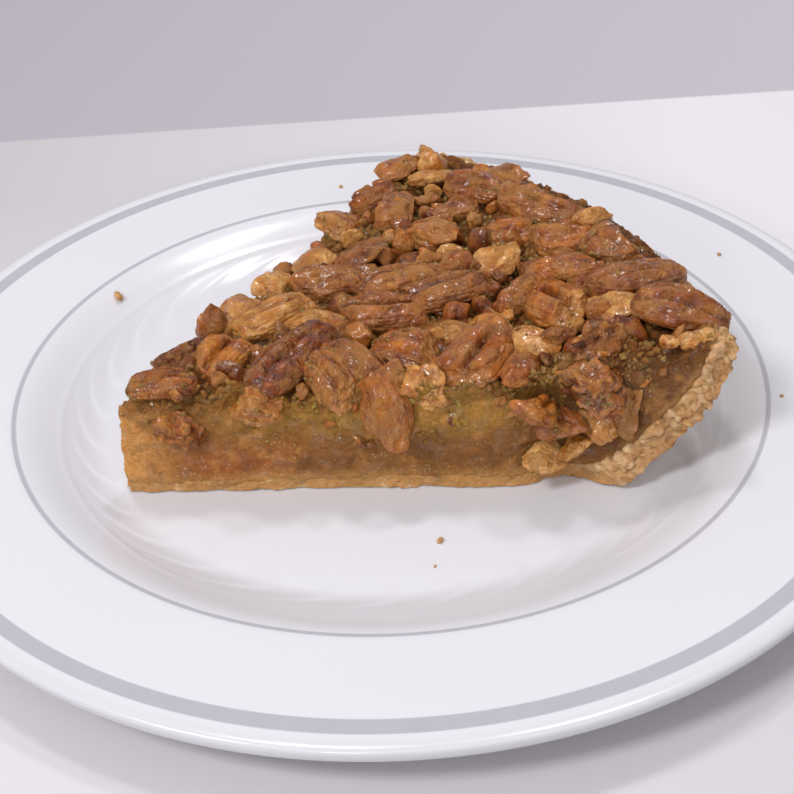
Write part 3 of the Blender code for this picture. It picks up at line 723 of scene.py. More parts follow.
class PIE_OT_custard(bpy.types.Operator):
    """Sets the custard, with its cut faces and the sticky sugar crackled over it"""

    bl_idname = "pie.custard"
    bl_label = "Custard and sugar"

    def execute(self, context):
        look = context.scene.pie_filling
        places, quads, ring = without_floor(*block_faces((250, 52, 190), 0.4))
        out, up, round_ = places.T
        angle = WEDGE * round_
        floor = BASE_THICK - 0.2
        guess = floor + up * (filling_height(118.0, angle) - floor)
        share = (crust_height(angle) - BASE_THICK) / (CRUST_FRONT - BASE_THICK)
        rise = np.clip((BASE_THICK + (guess - BASE_THICK) / share) / CRUST_FRONT, 0, 1)
        wall = wall_radius(rise) - wall_thickness(rise)
        wall = np.where(rise < 0.2, np.interp(rise, [0.08, 0.2], [95.2, wall_radius(0.2) - wall_thickness(0.2)]), wall)
        radius = POINT_RADIUS + out * (wall + 1.5 - POINT_RADIUS)
        top = filling_height(radius, angle)
        height = floor + up * (top - floor)
        points = np.stack([radius * np.cos(angle), radius * np.sin(angle), height], -1)
        quads = outward(points, quads)

        # the top's relief, fading down the sides, and the cut faces' relief, fading into the crust
        below = top - height
        upper = soft_step(-below, -3.5, 0)
        near = nearness(points, pecan_places(), 3.2)
        from_cut = np.minimum(round_, 1 - round_) * radius
        raised, gap, number = topping(points, near, from_cut)
        faces_out = out_of_cuts(points, round_, 0.02)
        on_cut = np.clip(np.linalg.norm(faces_out, axis=1), 0, 1)
        low = 1 - soft_step(up, 0, 0.09)
        lip = 0.30 * low - 0.55 * (1 - soft_step(up, 0, 0.03))
        stands = cut_offset(points) + lip + 0.5 * upper * rough(points, 1.6, 45) - 1.1 * soft_step(out, 0.975, 1)
        point_out = soft_step(0.015 - out, 0, 0.015) * (0.6 * rough(points, 2.4, 71) + 0.3 * rough(points, 1.0, 72))
        points = points + faces_out * stands[:, None] + point_out[:, None] * np.array([-0.87, -0.5, 0])
        points[:, 2] += raised * upper - on_cut * low * np.clip(0.9 + 1.3 * rough(points, 4, 88), 0, 2.3)
        points[:, 1] += front_hollow(points)

        # what is painted on it: the sugar's colours above, the custard's on the cuts and just over their edges
        side = soft_step(below + 1.3 * rough(points, 3, 77), 0.3, 2.4)
        brink = 0.8 * soft_step(6 - from_cut, 0, 6)
        # painted shade: nearly black down the cracks and in the low sugar away from the nuts, none at the cuts
        deep = np.clip(0.76 - 0.78 * near - 0.6 * rough(points, 5.0, 41) - 0.7 * soft_step(gap, 0, 0.2), 0, 0.9)
        deep *= upper * soft_step(from_cut, 0.5, 6)
        pale = np.clip(2.4 * (number - 0.7), 0, 1) * soft_step(gap, 0.1, 0.3)
        colour = sugar_colour(points, deep, pale, look)
        over = np.maximum(side, brink)[:, None]
        colour = colour + 0.95 * over * (custard_colour(points, look) - colour)
        coat = np.concatenate([colour, (1 - 0.85 * side - 0.15 * (1 - side) * brink)[:, None]], 1)

        # the floor, a fan from its middle
        points = np.concatenate([points, points[ring].mean(0, keepdims=True)])
        coat = np.concatenate([coat, coat[ring].mean(0, keepdims=True)])
        fan = np.stack([np.full(len(ring), len(points) - 1), np.roll(ring, -1), ring], -1)
        custard = make_piece("custard", set_on_plate(points), [quads, fan], filling_finish(look, "custard_and_sugar"), coat)
        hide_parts("filling")
        return {"FINISHED"}


# ---------------------------------------------------------------- pecans


def mesh_points(mesh):
    """A mesh's points, in millimetres in the slice's frame."""
    corners = np.empty(len(mesh.vertices) * 3, np.float32)
    mesh.vertices.foreach_get("co", corners)
    return taken_off_plate(corners.reshape(-1, 3).astype(float))


def pecan_places():
    """For each pecan piece's solid: name, number, kind, middle, axes as rows (length, width, thickness) and half sizes, in the
    slice's frame. The axes are the principal ones of the solid, and point to the side where its tail is longer."""
    found = []
    for name, node in sorted(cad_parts.items()):
        if not name.startswith("pecan_"):
            continue
        mesh = node.data
        corners = mesh_points(mesh)
        mesh.calc_loop_triangles()
        tris = np.empty(len(mesh.loop_triangles) * 3, np.int32)
        mesh.loop_triangles.foreach_get("vertices", tris)
        a, b, c = (corners[tris.reshape(-1, 3)[:, i]] for i in range(3))
        middle = corners.mean(0)
        a, b, c = a - middle, b - middle, c - middle
        volume = np.einsum("ij,ij->i", a, np.cross(b, c)) / 6
        middle = middle + ((a + b + c) / 4 * volume[:, None]).sum(0) / volume.sum()
        tets = np.stack([a, b, c, np.zeros_like(a)], 1)
        sums = tets.sum(1)
        spread = (np.einsum("nki,nkj,n->ij", tets, tets, volume) + np.einsum("ni,nj,n->ij", sums, sums, volume)) / 20
        _, vectors = np.linalg.eigh(spread)
        axes = vectors.T[::-1]
        away = (corners - middle) @ axes.T
        tail = np.sign(away.max(0) + away.min(0) + 1e-9)
        _, kind, number = name.split("_")
        if kind in ("snapped", "chunk"):
            tail[0] = -tail[0]
        if kind == "lobe":
            tail[1] = -tail[1]
        axes = axes * tail[:, None]
        if axes[2, 2] < -0.3:
            axes[2] *= -1
        if np.linalg.det(axes) < 0:
            axes[0 if kind == "lobe" else 1] *= -1
        away = (corners - middle) @ axes.T
        low, high = away.min(0), away.max(0)
        found.append((name, int(number), kind, middle + (low + high) / 2 @ axes, axes, (high - low) / 2))
    return found


def nearness(points, places, reach):
    """1 at a nut's side and falling as exp(-(distance / reach)^2) away from it, in millimetres."""
    near = np.zeros(len(points))
    for _, _, _, middle, axes, half in places:
        stretched = np.linalg.norm((points - middle) @ axes.T / half, axis=1)
        distance = np.maximum(stretched - 1, 0) * half[1]
        near = np.maximum(near, np.exp(-((distance / reach) ** 2)))
    return near


BREAKS = {  # a kernel's broken sides, as directions and distances in a kernel of radius 1, and what is left's middle
    "half": ((), (0.0, 0.0, 0.0)),
    "snapped": ((((1, 0.25, 0.2), 0.46),), (-0.26, 0.0, 0.0)),
    "lobe": ((((0.12, 1, 0.1), 0.16),), (0.0, -0.40, 0.0)),
    "chunk": ((), (0.0, 0.0, 0.0)),
}


def smooth_least(values, soft):
    """The least of several arrays with its corners rounded: -soft log of the sum of exp(-value / soft)."""
    return -soft * np.log(sum(np.exp(-value / soft) for value in values))


def kernels(kind, rays, half, seeds, grooved):
    """Pecan pieces as points on rays from each piece's middle, in millimetres, with their flesh shares and the painted
    shade of their grooves, creases and undersides.

    In a kernel of radius 1 a ray with direction d from middle m leaves the skin at -m.d + sqrt((m.d)^2 + 1 - m.m) and a
    broken side at (distance - m.n + unevenness) / (d.n), and stops at the softened least of them. A chunk has seven
    broken sides at random and one at each end. Then the ends are blunted by (1 - |x|^2.8)^(1/2.8) / sqrt(1 - x^2), the
    nose narrows and the underside is flattened. A deep channel runs between two lobes on a grooved piece, and two
    shallow ones on another's back. The kernel is creased and bent a little, and is stretched to its size.
    A chunk's own skin is held to 0.84 of its ball."""
    sides, middle = BREAKS[kind]
    middle = np.array(middle)
    count = len(seeds)
    seeds = np.asarray(seeds, float)
    shift = seeds[:, None, None] * np.array([7.31, 3.77, 5.13])
    pick = np.stack([seeds, seeds * 3 + 1, seeds * 0 + 5], -1)
    dot = rays @ middle
    skin = np.tile(-dot + np.sqrt(dot * dot + 1 - middle @ middle), (count, 1))
    uneven = rough(rays[None] * 1.3 + shift, 1.0, 51, 3)
    cuts = []
    for direction, distance in sides:
        n = np.array(direction) / np.linalg.norm(direction)
        slope = rays @ n
        reach = (distance - middle @ n + 0.16 * uneven) / np.maximum(slope, 0.05)
        cuts.append(np.where(slope > 0.05, reach, 4.0))
    if kind == "chunk":
        for side in range(9):
            turn = math.tau * (side * 0.381966 + 0.15 * lattice_value(pick, 100 + side))
            lift = 0.9 - 1.5 * (side + lattice_value(pick, 110 + side)) / 7
            distance = 0.38 + 0.42 * lattice_value(pick, 120 + side)
            if side > 6:
                turn, lift = (side - 7) * math.pi + 0.9 * (lattice_value(pick, 130 + side) - 0.5), 0.3 * lift
                distance = 0.50 + 0.25 * lattice_value(pick, 140 + side)
            flat = np.sqrt(1 - lift * lift)
            n = np.stack([flat * np.cos(turn), flat * np.sin(turn), lift], -1)
            slope = n @ rays.T
            reach = (distance[:, None] + 0.07 * uneven) / np.maximum(slope, 0.05)
            cuts.append(np.where(slope > 0.05, reach, 4.0))
    soft = 0.05 if kind == "chunk" else 0.035
    reach = smooth_least([skin * (0.84 if kind == "chunk" else 1.0), *cuts], soft)
    snap = np.minimum.reduce([np.full_like(skin, 4.0), *cuts])
    flesh = soft_step(skin - snap, -0.02, 0.10)
    if kind == "chunk":
        flesh = flesh * soft_step(uneven, -0.35, 0.1)
    p = middle + reach[..., None] * rays[None]
    x, y, z = (p[..., i].copy() for i in range(3))
    inside = np.clip(np.abs(x), 0, 0.999)
    blunt = np.clip((1 - inside**2.8) ** (1 / 2.8) / np.sqrt(1 - inside**2), 1, 1.5)
    if kind != "chunk":
        y, z = y * blunt, z * blunt
    ends = np.sqrt(np.clip(1 - x * x, 0, 1))
    sway = y - 0.09 * np.sin(2.2 * x + shift[..., 0]) - 0.06 * rough(p * 1.3 + shift, 1.0, 53, 2)
    channel = bell(sway, 0.05, 0.15) * soft_step(ends, 0.05, 0.6) * soft_step(z, -0.2, 0.3)
    backs = bell(np.abs(sway), 0.34, 0.10) * ends * (z > 0)
    under = bell(sway, 0, 0.16) * ends * (z <= 0)
    is_grooved = np.asarray(grooved, float)[:, None]
    ridged = 0 if kind == "chunk" else 1
    groove = ridged * (is_grooved * channel + (1 - is_grooved) * 0.42 * backs)
    big = rough(p * np.array([1.0, 1.2, 1.2]) + shift, 1.0, 55, 2)
    folds = rough(p * np.array([2.6, 2.4, 2.4]) + shift, 1.0, 56, 2)
    creases = ridged * bell(rough(p * np.array([1.0, 3.4, 3.4]) + shift, 1.0, 57, 2), 0, 0.12)
    bumpy = 0.13 * big + (1 - 0.5 * flesh) * 0.07 * folds - (1 - flesh) * 0.048 * creases
    z = z * np.where(z > 0, 1 - 0.62 * groove, 0.72 * (1 - 0.30 * ridged * under))
    taper = 1 - 0.16 * np.maximum(x, 0)
    y, z = y * taper * (1 + bumpy), z * taper * (1 + 1.3 * bumpy)
    x = x * (1 + 0.6 * bumpy)
    lean = lattice_value(pick, 61)[:, None] - 0.5
    z = z + 0.20 * lean * x * x
    y = y + (0.55 if kind == "lobe" else 0.30) * lean * x * x
    p = np.stack([x, y, z], -1)
    low, high = p.min(1, keepdims=True), p.max(1, keepdims=True)
    p = (p - (low + high) / 2) / ((high - low) / 2) * half[:, None, :]
    size = np.minimum(half.max(axis=1) / 5, 1)[:, None]
    broken = rough(p + shift, 1.7, 63, 3) * (0.62 if kind == "chunk" else 0.40) * size
    grit = rough(p + shift, 1.3, 65, 2) * 0.17 * size
    stands = flesh * broken + (1 - flesh) * grit
    p = p + stands[..., None] * rays[None]
    # painted shade: strongest in the grooves, under the piece and in the creases of its skin
    deep = np.clip(1.1 * groove + 0.5 * under + 0.35 * creases * (1 - flesh) - 0.8 * folds, 0, 1)
    deep = np.clip(deep * (1 - 0.5 * flesh) - 1.2 * stands, 0, 1)
    return p, flesh, deep


def crusted(points, numbers):
    """The sugar and crumbs baked on to the pecan pieces: how much of it is on each point, how far it stands out in
    millimetres, and how much lighter it makes the skin. It lies round the foot of the pieces on the top, up to a ragged
    line about 2 mm above the filling, and a crumbly piece is grains 1.9 mm across, each with its own shade."""
    above = points[:, 2] - filling_height(*polar(points))
    collar = 1 - soft_step(above + 1.5 * rough(points, 3.0, 66), 0.6, 3.2)
    collar = np.where(numbers <= 45, collar, 0.0) * soft_step(rough(points, 4.5, 67), -0.5, 0.1)
    near, _, number = grains(points, 1.9, 68)
    clump = np.where(np.isin(numbers, CRUMBLY), 1.0, 0.0)
    lumps = 1.3 * np.clip(1 - near * near, 0, 1) * (0.3 + number) - 0.7
    stuck = 0.45 * collar * rough(points, 1.1, 69, 2) + clump * lumps
    return collar, stuck, clump * 0.5 * (number - 0.5)


def ray_sheet(count):
    """Even directions: a block's skin, each place warped by tan and set at a distance of 1, and its faces."""
    places, quads = block_faces((count, count, count))
    warped = np.tan((places * 2 - 1) * math.pi / 4)
    rays = warped / np.linalg.norm(warped, axis=1, keepdims=True)
    return rays, outward(rays, quads)


def joined(shapes, quads):
    """Many copies of one sheet's faces, one for each row of points."""
    copies, count = shapes.shape[:2]
    steps = np.arange(copies)[:, None, None] * count
    return shapes.reshape(-1, 3), (quads[None] + steps).reshape(-1, 4)


class PIE_OT_pecans(bpy.types.Operator):
    """Shapes each pecan piece where its solid lies, one joined piece for each kind"""

    bl_idname = "pie.pecans"
    bl_label = "Pecans"

    def execute(self, context):
        look = context.scene.pie_pecans
        finish = pecan_finish(look)
        places = pecan_places()
        for kind, count in (("half", 36), ("snapped", 34), ("lobe", 30), ("chunk", 25)):
            mine = [place for place in places if place[2] == kind]
            rays, quads = ray_sheet(count)
            half = np.array([place[5] for place in mine]) * look.plump
            numbers = np.array([place[1] for place in mine])
            least = np.where(np.isin(numbers, CRUMBLY), 0.62, 0.36)
            half = np.maximum(half, least[:, None] * half.max(axis=1, keepdims=True))
            seeds = [DRAWN_ANEW.get(number, number) for number in numbers]
            shapes, flesh, deep = kernels(kind, rays, half, seeds, np.isin(numbers, GROOVED))
            away = np.empty_like(shapes)
            for row, (_, _, _, middle, axes, _) in enumerate(mine):
                shapes[row] = shapes[row] @ axes
                away[row] = shapes[row] / np.linalg.norm(shapes[row], axis=1, keepdims=True)
                shapes[row] += middle
            skins = np.repeat(np.array(SKINS)[numbers - 1][:, None], len(rays), 1)
            flesh = flesh * soft_step(skins[..., 0], 0.25, 0.75)
            collar, stuck, shade = crusted(shapes.reshape(-1, 3), np.repeat(numbers, len(rays)))
            shapes += away * stuck.reshape(flesh.shape)[..., None]
            flesh = np.maximum(flesh, 0.85 * collar.reshape(flesh.shape))
            skins = np.clip(skins + shade.reshape(flesh.shape)[..., None] * np.array([1.0, -0.6]), 0, 1)
            coat = np.stack([skins[..., 0], flesh, deep, skins[..., 1]], -1).reshape(-1, 4)
            points, faces = joined(shapes, quads)
            pecans = make_piece(f"pecan_{kind}_pieces", set_on_plate(points), faces, finish, coat)
            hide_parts(*[place[0] for place in mine])
        return {"FINISHED"}


def scattered(count, seed):
    """Evenly random places over the slice's top: radius by the root of one number, angle by another, and a third."""
    cells = np.stack([np.arange(count), np.full(count, seed), np.zeros(count)], -1)
    radius = 2 + 117 * np.sqrt(lattice_value(cells, 71))
    angle = WEDGE * lattice_value(cells, 72)
    return radius, angle, lattice_value(cells, 73)


def random_turns(count, seed):
    """Turns about all three axes, from fixed random angles."""
    cells = np.stack([np.arange(count), np.full(count, seed), np.ones(count)], -1)
    a, b, c = (math.tau * lattice_value(cells, 80 + i) for i in range(3))
    zero, one = np.zeros(count), np.ones(count)
    about_z = np.array([[np.cos(a), -np.sin(a), zero], [np.sin(a), np.cos(a), zero], [zero, zero, one]])
    about_x = np.array([[one, zero, zero], [zero, np.cos(b), -np.sin(b)], [zero, np.sin(b), np.cos(b)]])
    about_y = np.array([[np.cos(c), zero, np.sin(c)], [zero, one, zero], [-np.sin(c), zero, np.cos(c)]])
    return np.einsum("ijn,jkn,kln->nil", about_z, about_x, about_y)


def scatter_bits(rays_count, middles, sizes, seed):
    """Chopped nut at the given middles: chunks, each with its own size and turn, and what is painted on them."""
    rays, quads = ray_sheet(rays_count)
    count = len(middles)
    cells = np.stack([np.arange(count), np.full(count, seed), np.full(count, 2)], -1)
    long = 1 + 0.6 * lattice_value(cells, 90)
    thin = 0.6 + 0.35 * lattice_value(cells, 91)
    half = np.stack([sizes * long, sizes, sizes * thin], -1) / 2
    shapes, flesh, deep = kernels("chunk", rays, half, np.arange(count) + seed * 100, np.zeros(count))
    shapes = np.einsum("nkj,nji->nki", shapes, random_turns(count, seed)) + middles[:, None]
    tone = np.repeat((0.28 + 0.52 * lattice_value(cells, 92) ** 1.3)[:, None], len(rays), 1)
    flesh = flesh * soft_step(tone, 0.35, 0.85)
    orange = np.repeat((0.45 + 0.55 * lattice_value(cells, 93))[:, None], len(rays), 1)
    points, faces = joined(shapes, quads)
    return points, faces, np.stack([tone, flesh, deep, orange], -1).reshape(-1, 4)


def clear_of(middles, sizes, places):
    """Which bits to keep: those outside the nuts, each a share of its own size away from every bit kept before it."""
    near = nearness(middles, places, 1.0)
    kept = []
    for row in np.nonzero(near < 0.98 - 0.03 * sizes)[0]:
        others = np.array(kept, int)
        away = np.linalg.norm(middles[others] - middles[row], axis=1)
        if len(kept) == 0 or (away > 0.36 * (sizes[others] + sizes[row])).all():
            kept.append(row)
    return np.array(kept)


class PIE_OT_chips(bpy.types.Operator):
    """Packs chopped nut into the gaps between the pecans and into the top of the front cut"""

    bl_idname = "pie.chips"
    bl_label = "Chopped nut"

    def execute(self, context):
        look = context.scene.pie_pecans
        places = pecan_places()
        radius, angle, pick = scattered(look.chips, 5)
        sizes = 3.5 + 4.5 * pick**1.4
        height = filling_height(radius, angle) + 1.7 + 0.16 * sizes
        middles = np.stack([radius * np.cos(angle), radius * np.sin(angle), height], -1)
        pick_cut = scattered(26, 6)
        along = 10 + 105 * (pick_cut[0] / 119)
        deep_in = 0.3 + pick_cut[2]
        down = filling_height(along, 0) - 1.0 - 9.5 * (pick_cut[1] / WEDGE) ** 1.4
        middles = np.concatenate([middles, np.stack([along, deep_in, down], -1)])
        sizes = np.concatenate([sizes, 2.2 + 2.4 * pick_cut[2]])
        sizes = np.where(middles[:, 1] < 5, np.minimum(sizes, 3.2), sizes)
        keep = clear_of(middles, sizes, places)
        middles = middles[keep]
        middles[:, 1] += 0.8 * front_hollow(middles)
        points, faces, coat = scatter_bits(9, middles, sizes[keep], 5)
        chips = make_piece("chopped_nut", set_on_plate(points), faces, pecan_finish(look, "chopped_pecan"), coat)
        return {"FINISHED"}


def crumbs_on_cuts():
    """Middles and sizes of the crumbs that cling to the two cuts: evenly random along them, thickest just under the
    topping, since the depth under it is 13 mm times the square of a random number, and in patches."""
    tried, seed = 900, 21
    along, angle, pick = scattered(tried, seed)
    cells = np.stack([np.arange(tried), np.full(tried, seed), np.ones(tried)], -1)
    radius = 4 + 110 * along / 119
    side = np.where(angle < 0.62 * WEDGE, 0, 1)
    turn = side * WEDGE
    down = 13 * lattice_value(cells, 96) ** 2
    middles = np.stack([radius * np.cos(turn), radius * np.sin(turn), filling_height(radius, turn) - down], -1)
    sizes = 0.6 + 1.1 * pick**2
    out = np.where(side[:, None] == 0, [[0, -1.0, 0]], [[-math.sin(WEDGE), math.cos(WEDGE), 0]])
    placed = middles + out * (cut_offset(middles) - 0.12 * sizes)[:, None]
    placed[:, 1] += front_hollow(placed) * (side == 0)
    keep = (rough(middles, 6, 97) > -0.05 + 0.04 * down) & (nearness(placed, pecan_places(), 1.0) < 0.9)
    return placed[keep], sizes[keep]


class PIE_OT_sugar_crumbs(bpy.types.Operator):
    """Scatters sugar and nut crumbs over the topping"""

    bl_idname = "pie.sugar_crumbs"
    bl_label = "Sugar crumbs"

    def execute(self, context):
        look = context.scene.pie_filling
        radius, angle, pick = scattered(context.scene.pie_pecans.crumbs, 9)
        sizes = 0.6 + 1.5 * pick**2
        middles = np.stack([radius * np.cos(angle), radius * np.sin(angle), filling_height(radius, angle)], -1)
        near = nearness(middles, pecan_places(), 3.2)
        raised, _, _ = topping(middles, near, np.minimum(angle, WEDGE - angle) * radius)
        middles[:, 2] += raised + 0.1 * sizes
        keep = (near < 0.97) & (radius < 116)
        middles, sizes = middles[keep], sizes[keep]
        on_cuts, on_cuts_sizes = crumbs_on_cuts()
        skins = [bpy.data.objects[f"pecan_{kind}_pieces"].data for kind in ("half", "snapped", "lobe", "chunk")]
        on_nuts = np.concatenate([mesh_points(skin) for skin in skins])
        cells = np.stack([np.arange(len(on_nuts)), np.full(len(on_nuts), 3), np.zeros(len(on_nuts))], -1)
        chance = soft_step(rough(on_nuts, 5.0, 91), 0.2, 0.6) * 0.024
        on_nuts = on_nuts[lattice_value(cells, 94) < chance]
        cells = cells[: len(on_nuts)]
        middles = np.concatenate([middles, on_nuts, on_cuts])
        sizes = np.concatenate([sizes, 0.5 + 0.9 * lattice_value(cells, 95) ** 2, on_cuts_sizes])
        points, faces, coat = scatter_bits(2, middles, sizes, 9)
        tone = coat[:, 0]
        colour = sugar_colour(points, 0 * tone, 0.35 + 0.65 * soft_step(tone, 0.4, 0.75), look)
        like_cut = np.repeat(np.arange(len(middles)) >= len(middles) - len(on_cuts), len(points) // len(middles))
        colour = np.where(like_cut[:, None], 0.60 * colour + 0.90 * custard_colour(points, look), colour)
        coat = np.concatenate([colour, np.ones((len(points), 1))], 1)
        crumbs = make_piece("sugar_crumbs", set_on_plate(points), faces, filling_finish(look, "sugar_crumb"), coat)
        return {"FINISHED"}


class PIE_OT_stray_crumbs(bpy.types.Operator):
    """Drops the few stray crumbs on the plate and the flakes on the crust's rim"""

    bl_idname = "pie.stray_crumbs"
    bl_label = "Stray crumbs"

    def execute(self, context):
        look = context.scene.pie_crust
        # where each crumb lies on the plate, in millimetres, and its size
        strays = np.array(
            [
                (-67.0, 42.8, 2.4),
                (8.9, -50.5, 1.3),
                (7.5, -58.2, 0.7),
                (84.5, 45.8, 1.0),
                (-11.0, 92.2, 1.0),
                (86.4, -16.1, 0.8),
            ]
        )
        height = plate_height(np.hypot(strays[:, 0], strays[:, 1])) + 0.32 * strays[:, 2]
        on_plate = np.stack([strays[:, 0], strays[:, 1], height], -1) * MM
        # pastry flakes on the crust's rim: degrees from the front cut, and sizes
        flakes = np.array([(13.0, 2.2), (13.9, 3.3), (14.8, 2.6), (15.8, 3.6), (16.9, 2.4), (19.5, 1.8)])
        turn = np.radians(flakes[:, 0])
        rim, stands = 126.6, 0.7  # the rim's middle radius, and how far above it the flakes' middles are
        on_rim = np.stack([rim * np.cos(turn), rim * np.sin(turn), crust_height(turn) + stands], -1)
        middles = np.concatenate([taken_off_plate(on_plate), on_rim])
        points, faces, coat = scatter_bits(4, middles, np.concatenate([strays[:, 2], flakes[:, 1]]), 13)
        baked = coat * np.array([0.2, 1.0, 0.2, 0.1])
        crumbs = make_piece("stray_crumbs", set_on_plate(points), faces, pastry_finish(look), baked)
        return {"FINISHED"}


# ---------------------------------------------------------------- stage


def table_finish(look):
    """Pale, with painted shade darkening its far left, its front and most of all its front right, where the plate's
    shadow falls, and a shade darker behind the table's far edge, with painted shade darker towards the left there.
    """
    f = Finish("pale_table")
    turned = f.add("ShaderNodeMapping", {"Vector": f.place, "Rotation": (0, 0, math.radians(-2.04))})
    apart = f.add("ShaderNodeSeparateXYZ", {"Vector": turned.outputs["Vector"]})
    behind = f.span(apart.outputs["Y"], look.table_depth - 0.0006, look.table_depth + 0.0006)
    shade = f.blend(f.noise(0.09, 3), tuple(look.table), tuple(0.97 * c for c in look.table))
    # painted shade: darker towards the left and back of the table
    painted_shade_left_back = f.math("MULTIPLY", f.span(apart.outputs["X"], -0.12, 0.10, 1, 0), f.span(apart.outputs["Y"], -0.05, 0.12))
    shade = f.blend(painted_shade_left_back, shade, tuple(0.68 * c for c in look.table))
    # painted shade: the front of the table darker
    front = f.span(apart.outputs["Y"], -0.17, -0.03, 1, 0)
    shade = f.blend(front, shade, tuple(0.81 * c for c in look.table))
    # painted shadow: the front right darker still, where the plate's shadow falls
    side = f.math("MULTIPLY", front, f.span(apart.outputs["X"], 0.0, 0.14))
    shade = f.blend(side, shade, tuple(0.58 * c for c in look.table))
    # the backdrop, with painted shade darker towards the left
    far = f.blend(f.span(apart.outputs["X"], -0.2, 0.2), tuple(0.74 * c for c in look.backdrop), tuple(look.backdrop))
    colour = f.blend(behind, shade, far)
    f.surface(Base_Color=colour, Roughness=0.6, Specular_IOR_Level=0.3)
    return f.material


class PIE_OT_stage(bpy.types.Operator):
    """Sets the pale table, the soft light and the camera"""

    bl_idname = "pie.stage"
    bl_label = "Stage"

    def execute(self, context):
        look = context.scene.pie_stage
        scene = context.scene
        size = 3.0
        mesh = bpy.data.meshes.new("table")
        mesh.from_pydata([(-size, -size, 0), (size, -size, 0), (size, size, 0), (-size, size, 0)], [], [(0, 1, 2, 3)])
        mesh.materials.append(table_finish(look))
        table = bpy.data.objects.new("table", mesh)
        scene.collection.objects.link(table)

        world = bpy.data.worlds.new("soft_room")
        world.use_nodes = True
        sky = world.node_tree.nodes["Background"]
        sky.inputs["Color"].default_value = (*look.room, 1)
        sky.inputs["Strength"].default_value = look.room_light
        scene.world = world
        for name, place, width, power, colour in (
            ("window", (-1.12, -0.96, 1.68), 0.55, look.window_light, look.window),
            ("front", (0.45, -1.58, 1.12), 1.80, look.front_light, look.window),
            ("spark", (-0.32, -1.52, 0.67), 0.22, look.spark_light, look.window),
            ("back_left", (-0.26, 0.67, 2.00), 0.28, 1.2 * look.back_light, look.window),
            ("back_right", (0.42, 0.75, 1.90), 0.26, look.back_light, look.window),
        ):
            lamp = bpy.data.lights.new(name, "AREA")
            lamp.shape = "DISK"
            lamp.size = width
            lamp.energy = power
            lamp.color = colour
            light = bpy.data.objects.new(name, lamp)
            light.location = place
            light.rotation_euler = (Vector((0, 0, 0.02)) - Vector(place)).to_track_quat("-Z", "Y").to_euler()
            scene.collection.objects.link(light)

        lens = bpy.data.cameras.new("camera")
        lens.sensor_width = 36
        lens.lens = look.lens
        lens.clip_start = 0.01
        camera = bpy.data.objects.new("camera", lens)
        forward = Vector((0, math.cos(look.pitch), -math.sin(look.pitch)))
        up = Vector((0, math.sin(look.pitch), math.cos(look.pitch)))
        side = Vector((1, 0, 0))
        right = side * math.cos(look.roll) + up * math.sin(look.roll)
        up = -side * math.sin(look.roll) + up * math.cos(look.roll)
        turn = Matrix((right, up, -forward)).transposed().to_4x4()
        camera.matrix_world = Matrix.Translation(look.camera) @ turn
        scene.collection.objects.link(camera)
        scene.camera = camera
        scene.view_settings.view_transform = "Standard"
        scene.view_settings.look = "None"
        return {"FINISHED"}


# ---------------------------------------------------------------- sizes and colours that a user may change


def colour_setting(name, words, value):
    return bpy.props.FloatVectorProperty(name=name, description=words, default=value, size=3, min=0, max=1, subtype="COLOR")


def length_setting(name, words, value):
    return bpy.props.FloatProperty(name=name, description=words, default=value, min=0, subtype="DISTANCE", unit="LENGTH")


def share_setting(name, words, value, high=1.0):
    return bpy.props.FloatProperty(name=name, description=words, default=value, min=0, max=high, subtype="FACTOR")


def light_setting(name, words, value):
    return bpy.props.FloatProperty(name=name, description=words, default=value, min=0)


class PiePlate(bpy.types.PropertyGroup):
    ring_radius: length_setting("Ring radius", "Middle of the thin grey ring", 0.085)
    ring_width: length_setting("Ring width", "Width of the thin grey ring", 0.00105)
    band_inner: length_setting("Band inner", "Inner edge of the wide band", 0.1064)
    band_outer: length_setting("Band outer", "Outer edge of the wide band", 0.1100)
    floor_top: length_setting("Floor", "Height of the flat middle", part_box("crust")[0].z - 0.0003)
    white: colour_setting("White", "The plate's own colour", (0.682, 0.682, 0.720))
    grey: colour_setting("Grey", "Colour of the rings", (0.42, 0.42, 0.46))
    gloss: share_setting("Roughness", "How dull the glaze is", 0.16)


class PieCrust(bpy.types.PropertyGroup):
    crumb: length_setting("Crumb", "Size of the pastry's crumbs", 0.0018)
    shade: colour_setting("Shade", "Colour between the crumbs", (0.353, 0.160, 0.057))
    golden: colour_setting("Golden", "Main colour of the pastry", (0.571, 0.320, 0.135))
    pale: colour_setting("Pale", "Colour of its pale crumbs", (0.672, 0.432, 0.213))
    flour: colour_setting("Flour", "Colour of its palest grains", (0.758, 0.556, 0.333))
    browned: colour_setting("Browned", "Colour of its browned edge", (0.386, 0.184, 0.066))
    moist: colour_setting("Moist", "Colour of the base where the custard has soaked in", (0.457, 0.222, 0.064))


class PieFilling(bpy.types.PropertyGroup):
    amber: colour_setting("Amber", "Main colour of the custard", (0.266, 0.113, 0.026))
    gold: colour_setting("Gold", "Colour at the slice's point", (0.590, 0.284, 0.080))
    peach: colour_setting("Peach", "Colour low down near the point", (0.295, 0.083, 0.022))
    olive: colour_setting("Olive", "Colour just under the nuts", (0.387, 0.202, 0.035))
    dark: colour_setting("Dark", "Colour near the crust", (0.138, 0.051, 0.015))
    base: colour_setting("Base", "Colour where it meets the crust's base", (0.439, 0.219, 0.068))
    # partly the sugar beads' colour, partly painted glints
    bead_glint: colour_setting("Bead", "Colour of the small sugar beads", (0.72, 0.54, 0.31))
    wet: share_setting("Roughness", "How dull the wettest custard is", 0.20)
    sugar: colour_setting("Sugar", "Main colour of the sugar", (0.304, 0.113, 0.026))
    syrup: colour_setting("Syrup", "Colour of the stickier patches", (0.243, 0.070, 0.013))
    sugar_pale: colour_setting("Pale sugar", "Palest sugar crumbs", (0.527, 0.265, 0.079))
    # painted shade colour for the gaps between the nuts
    gap: colour_setting("Gap", "Colour deep between the nuts", (0.06, 0.02, 0.007))


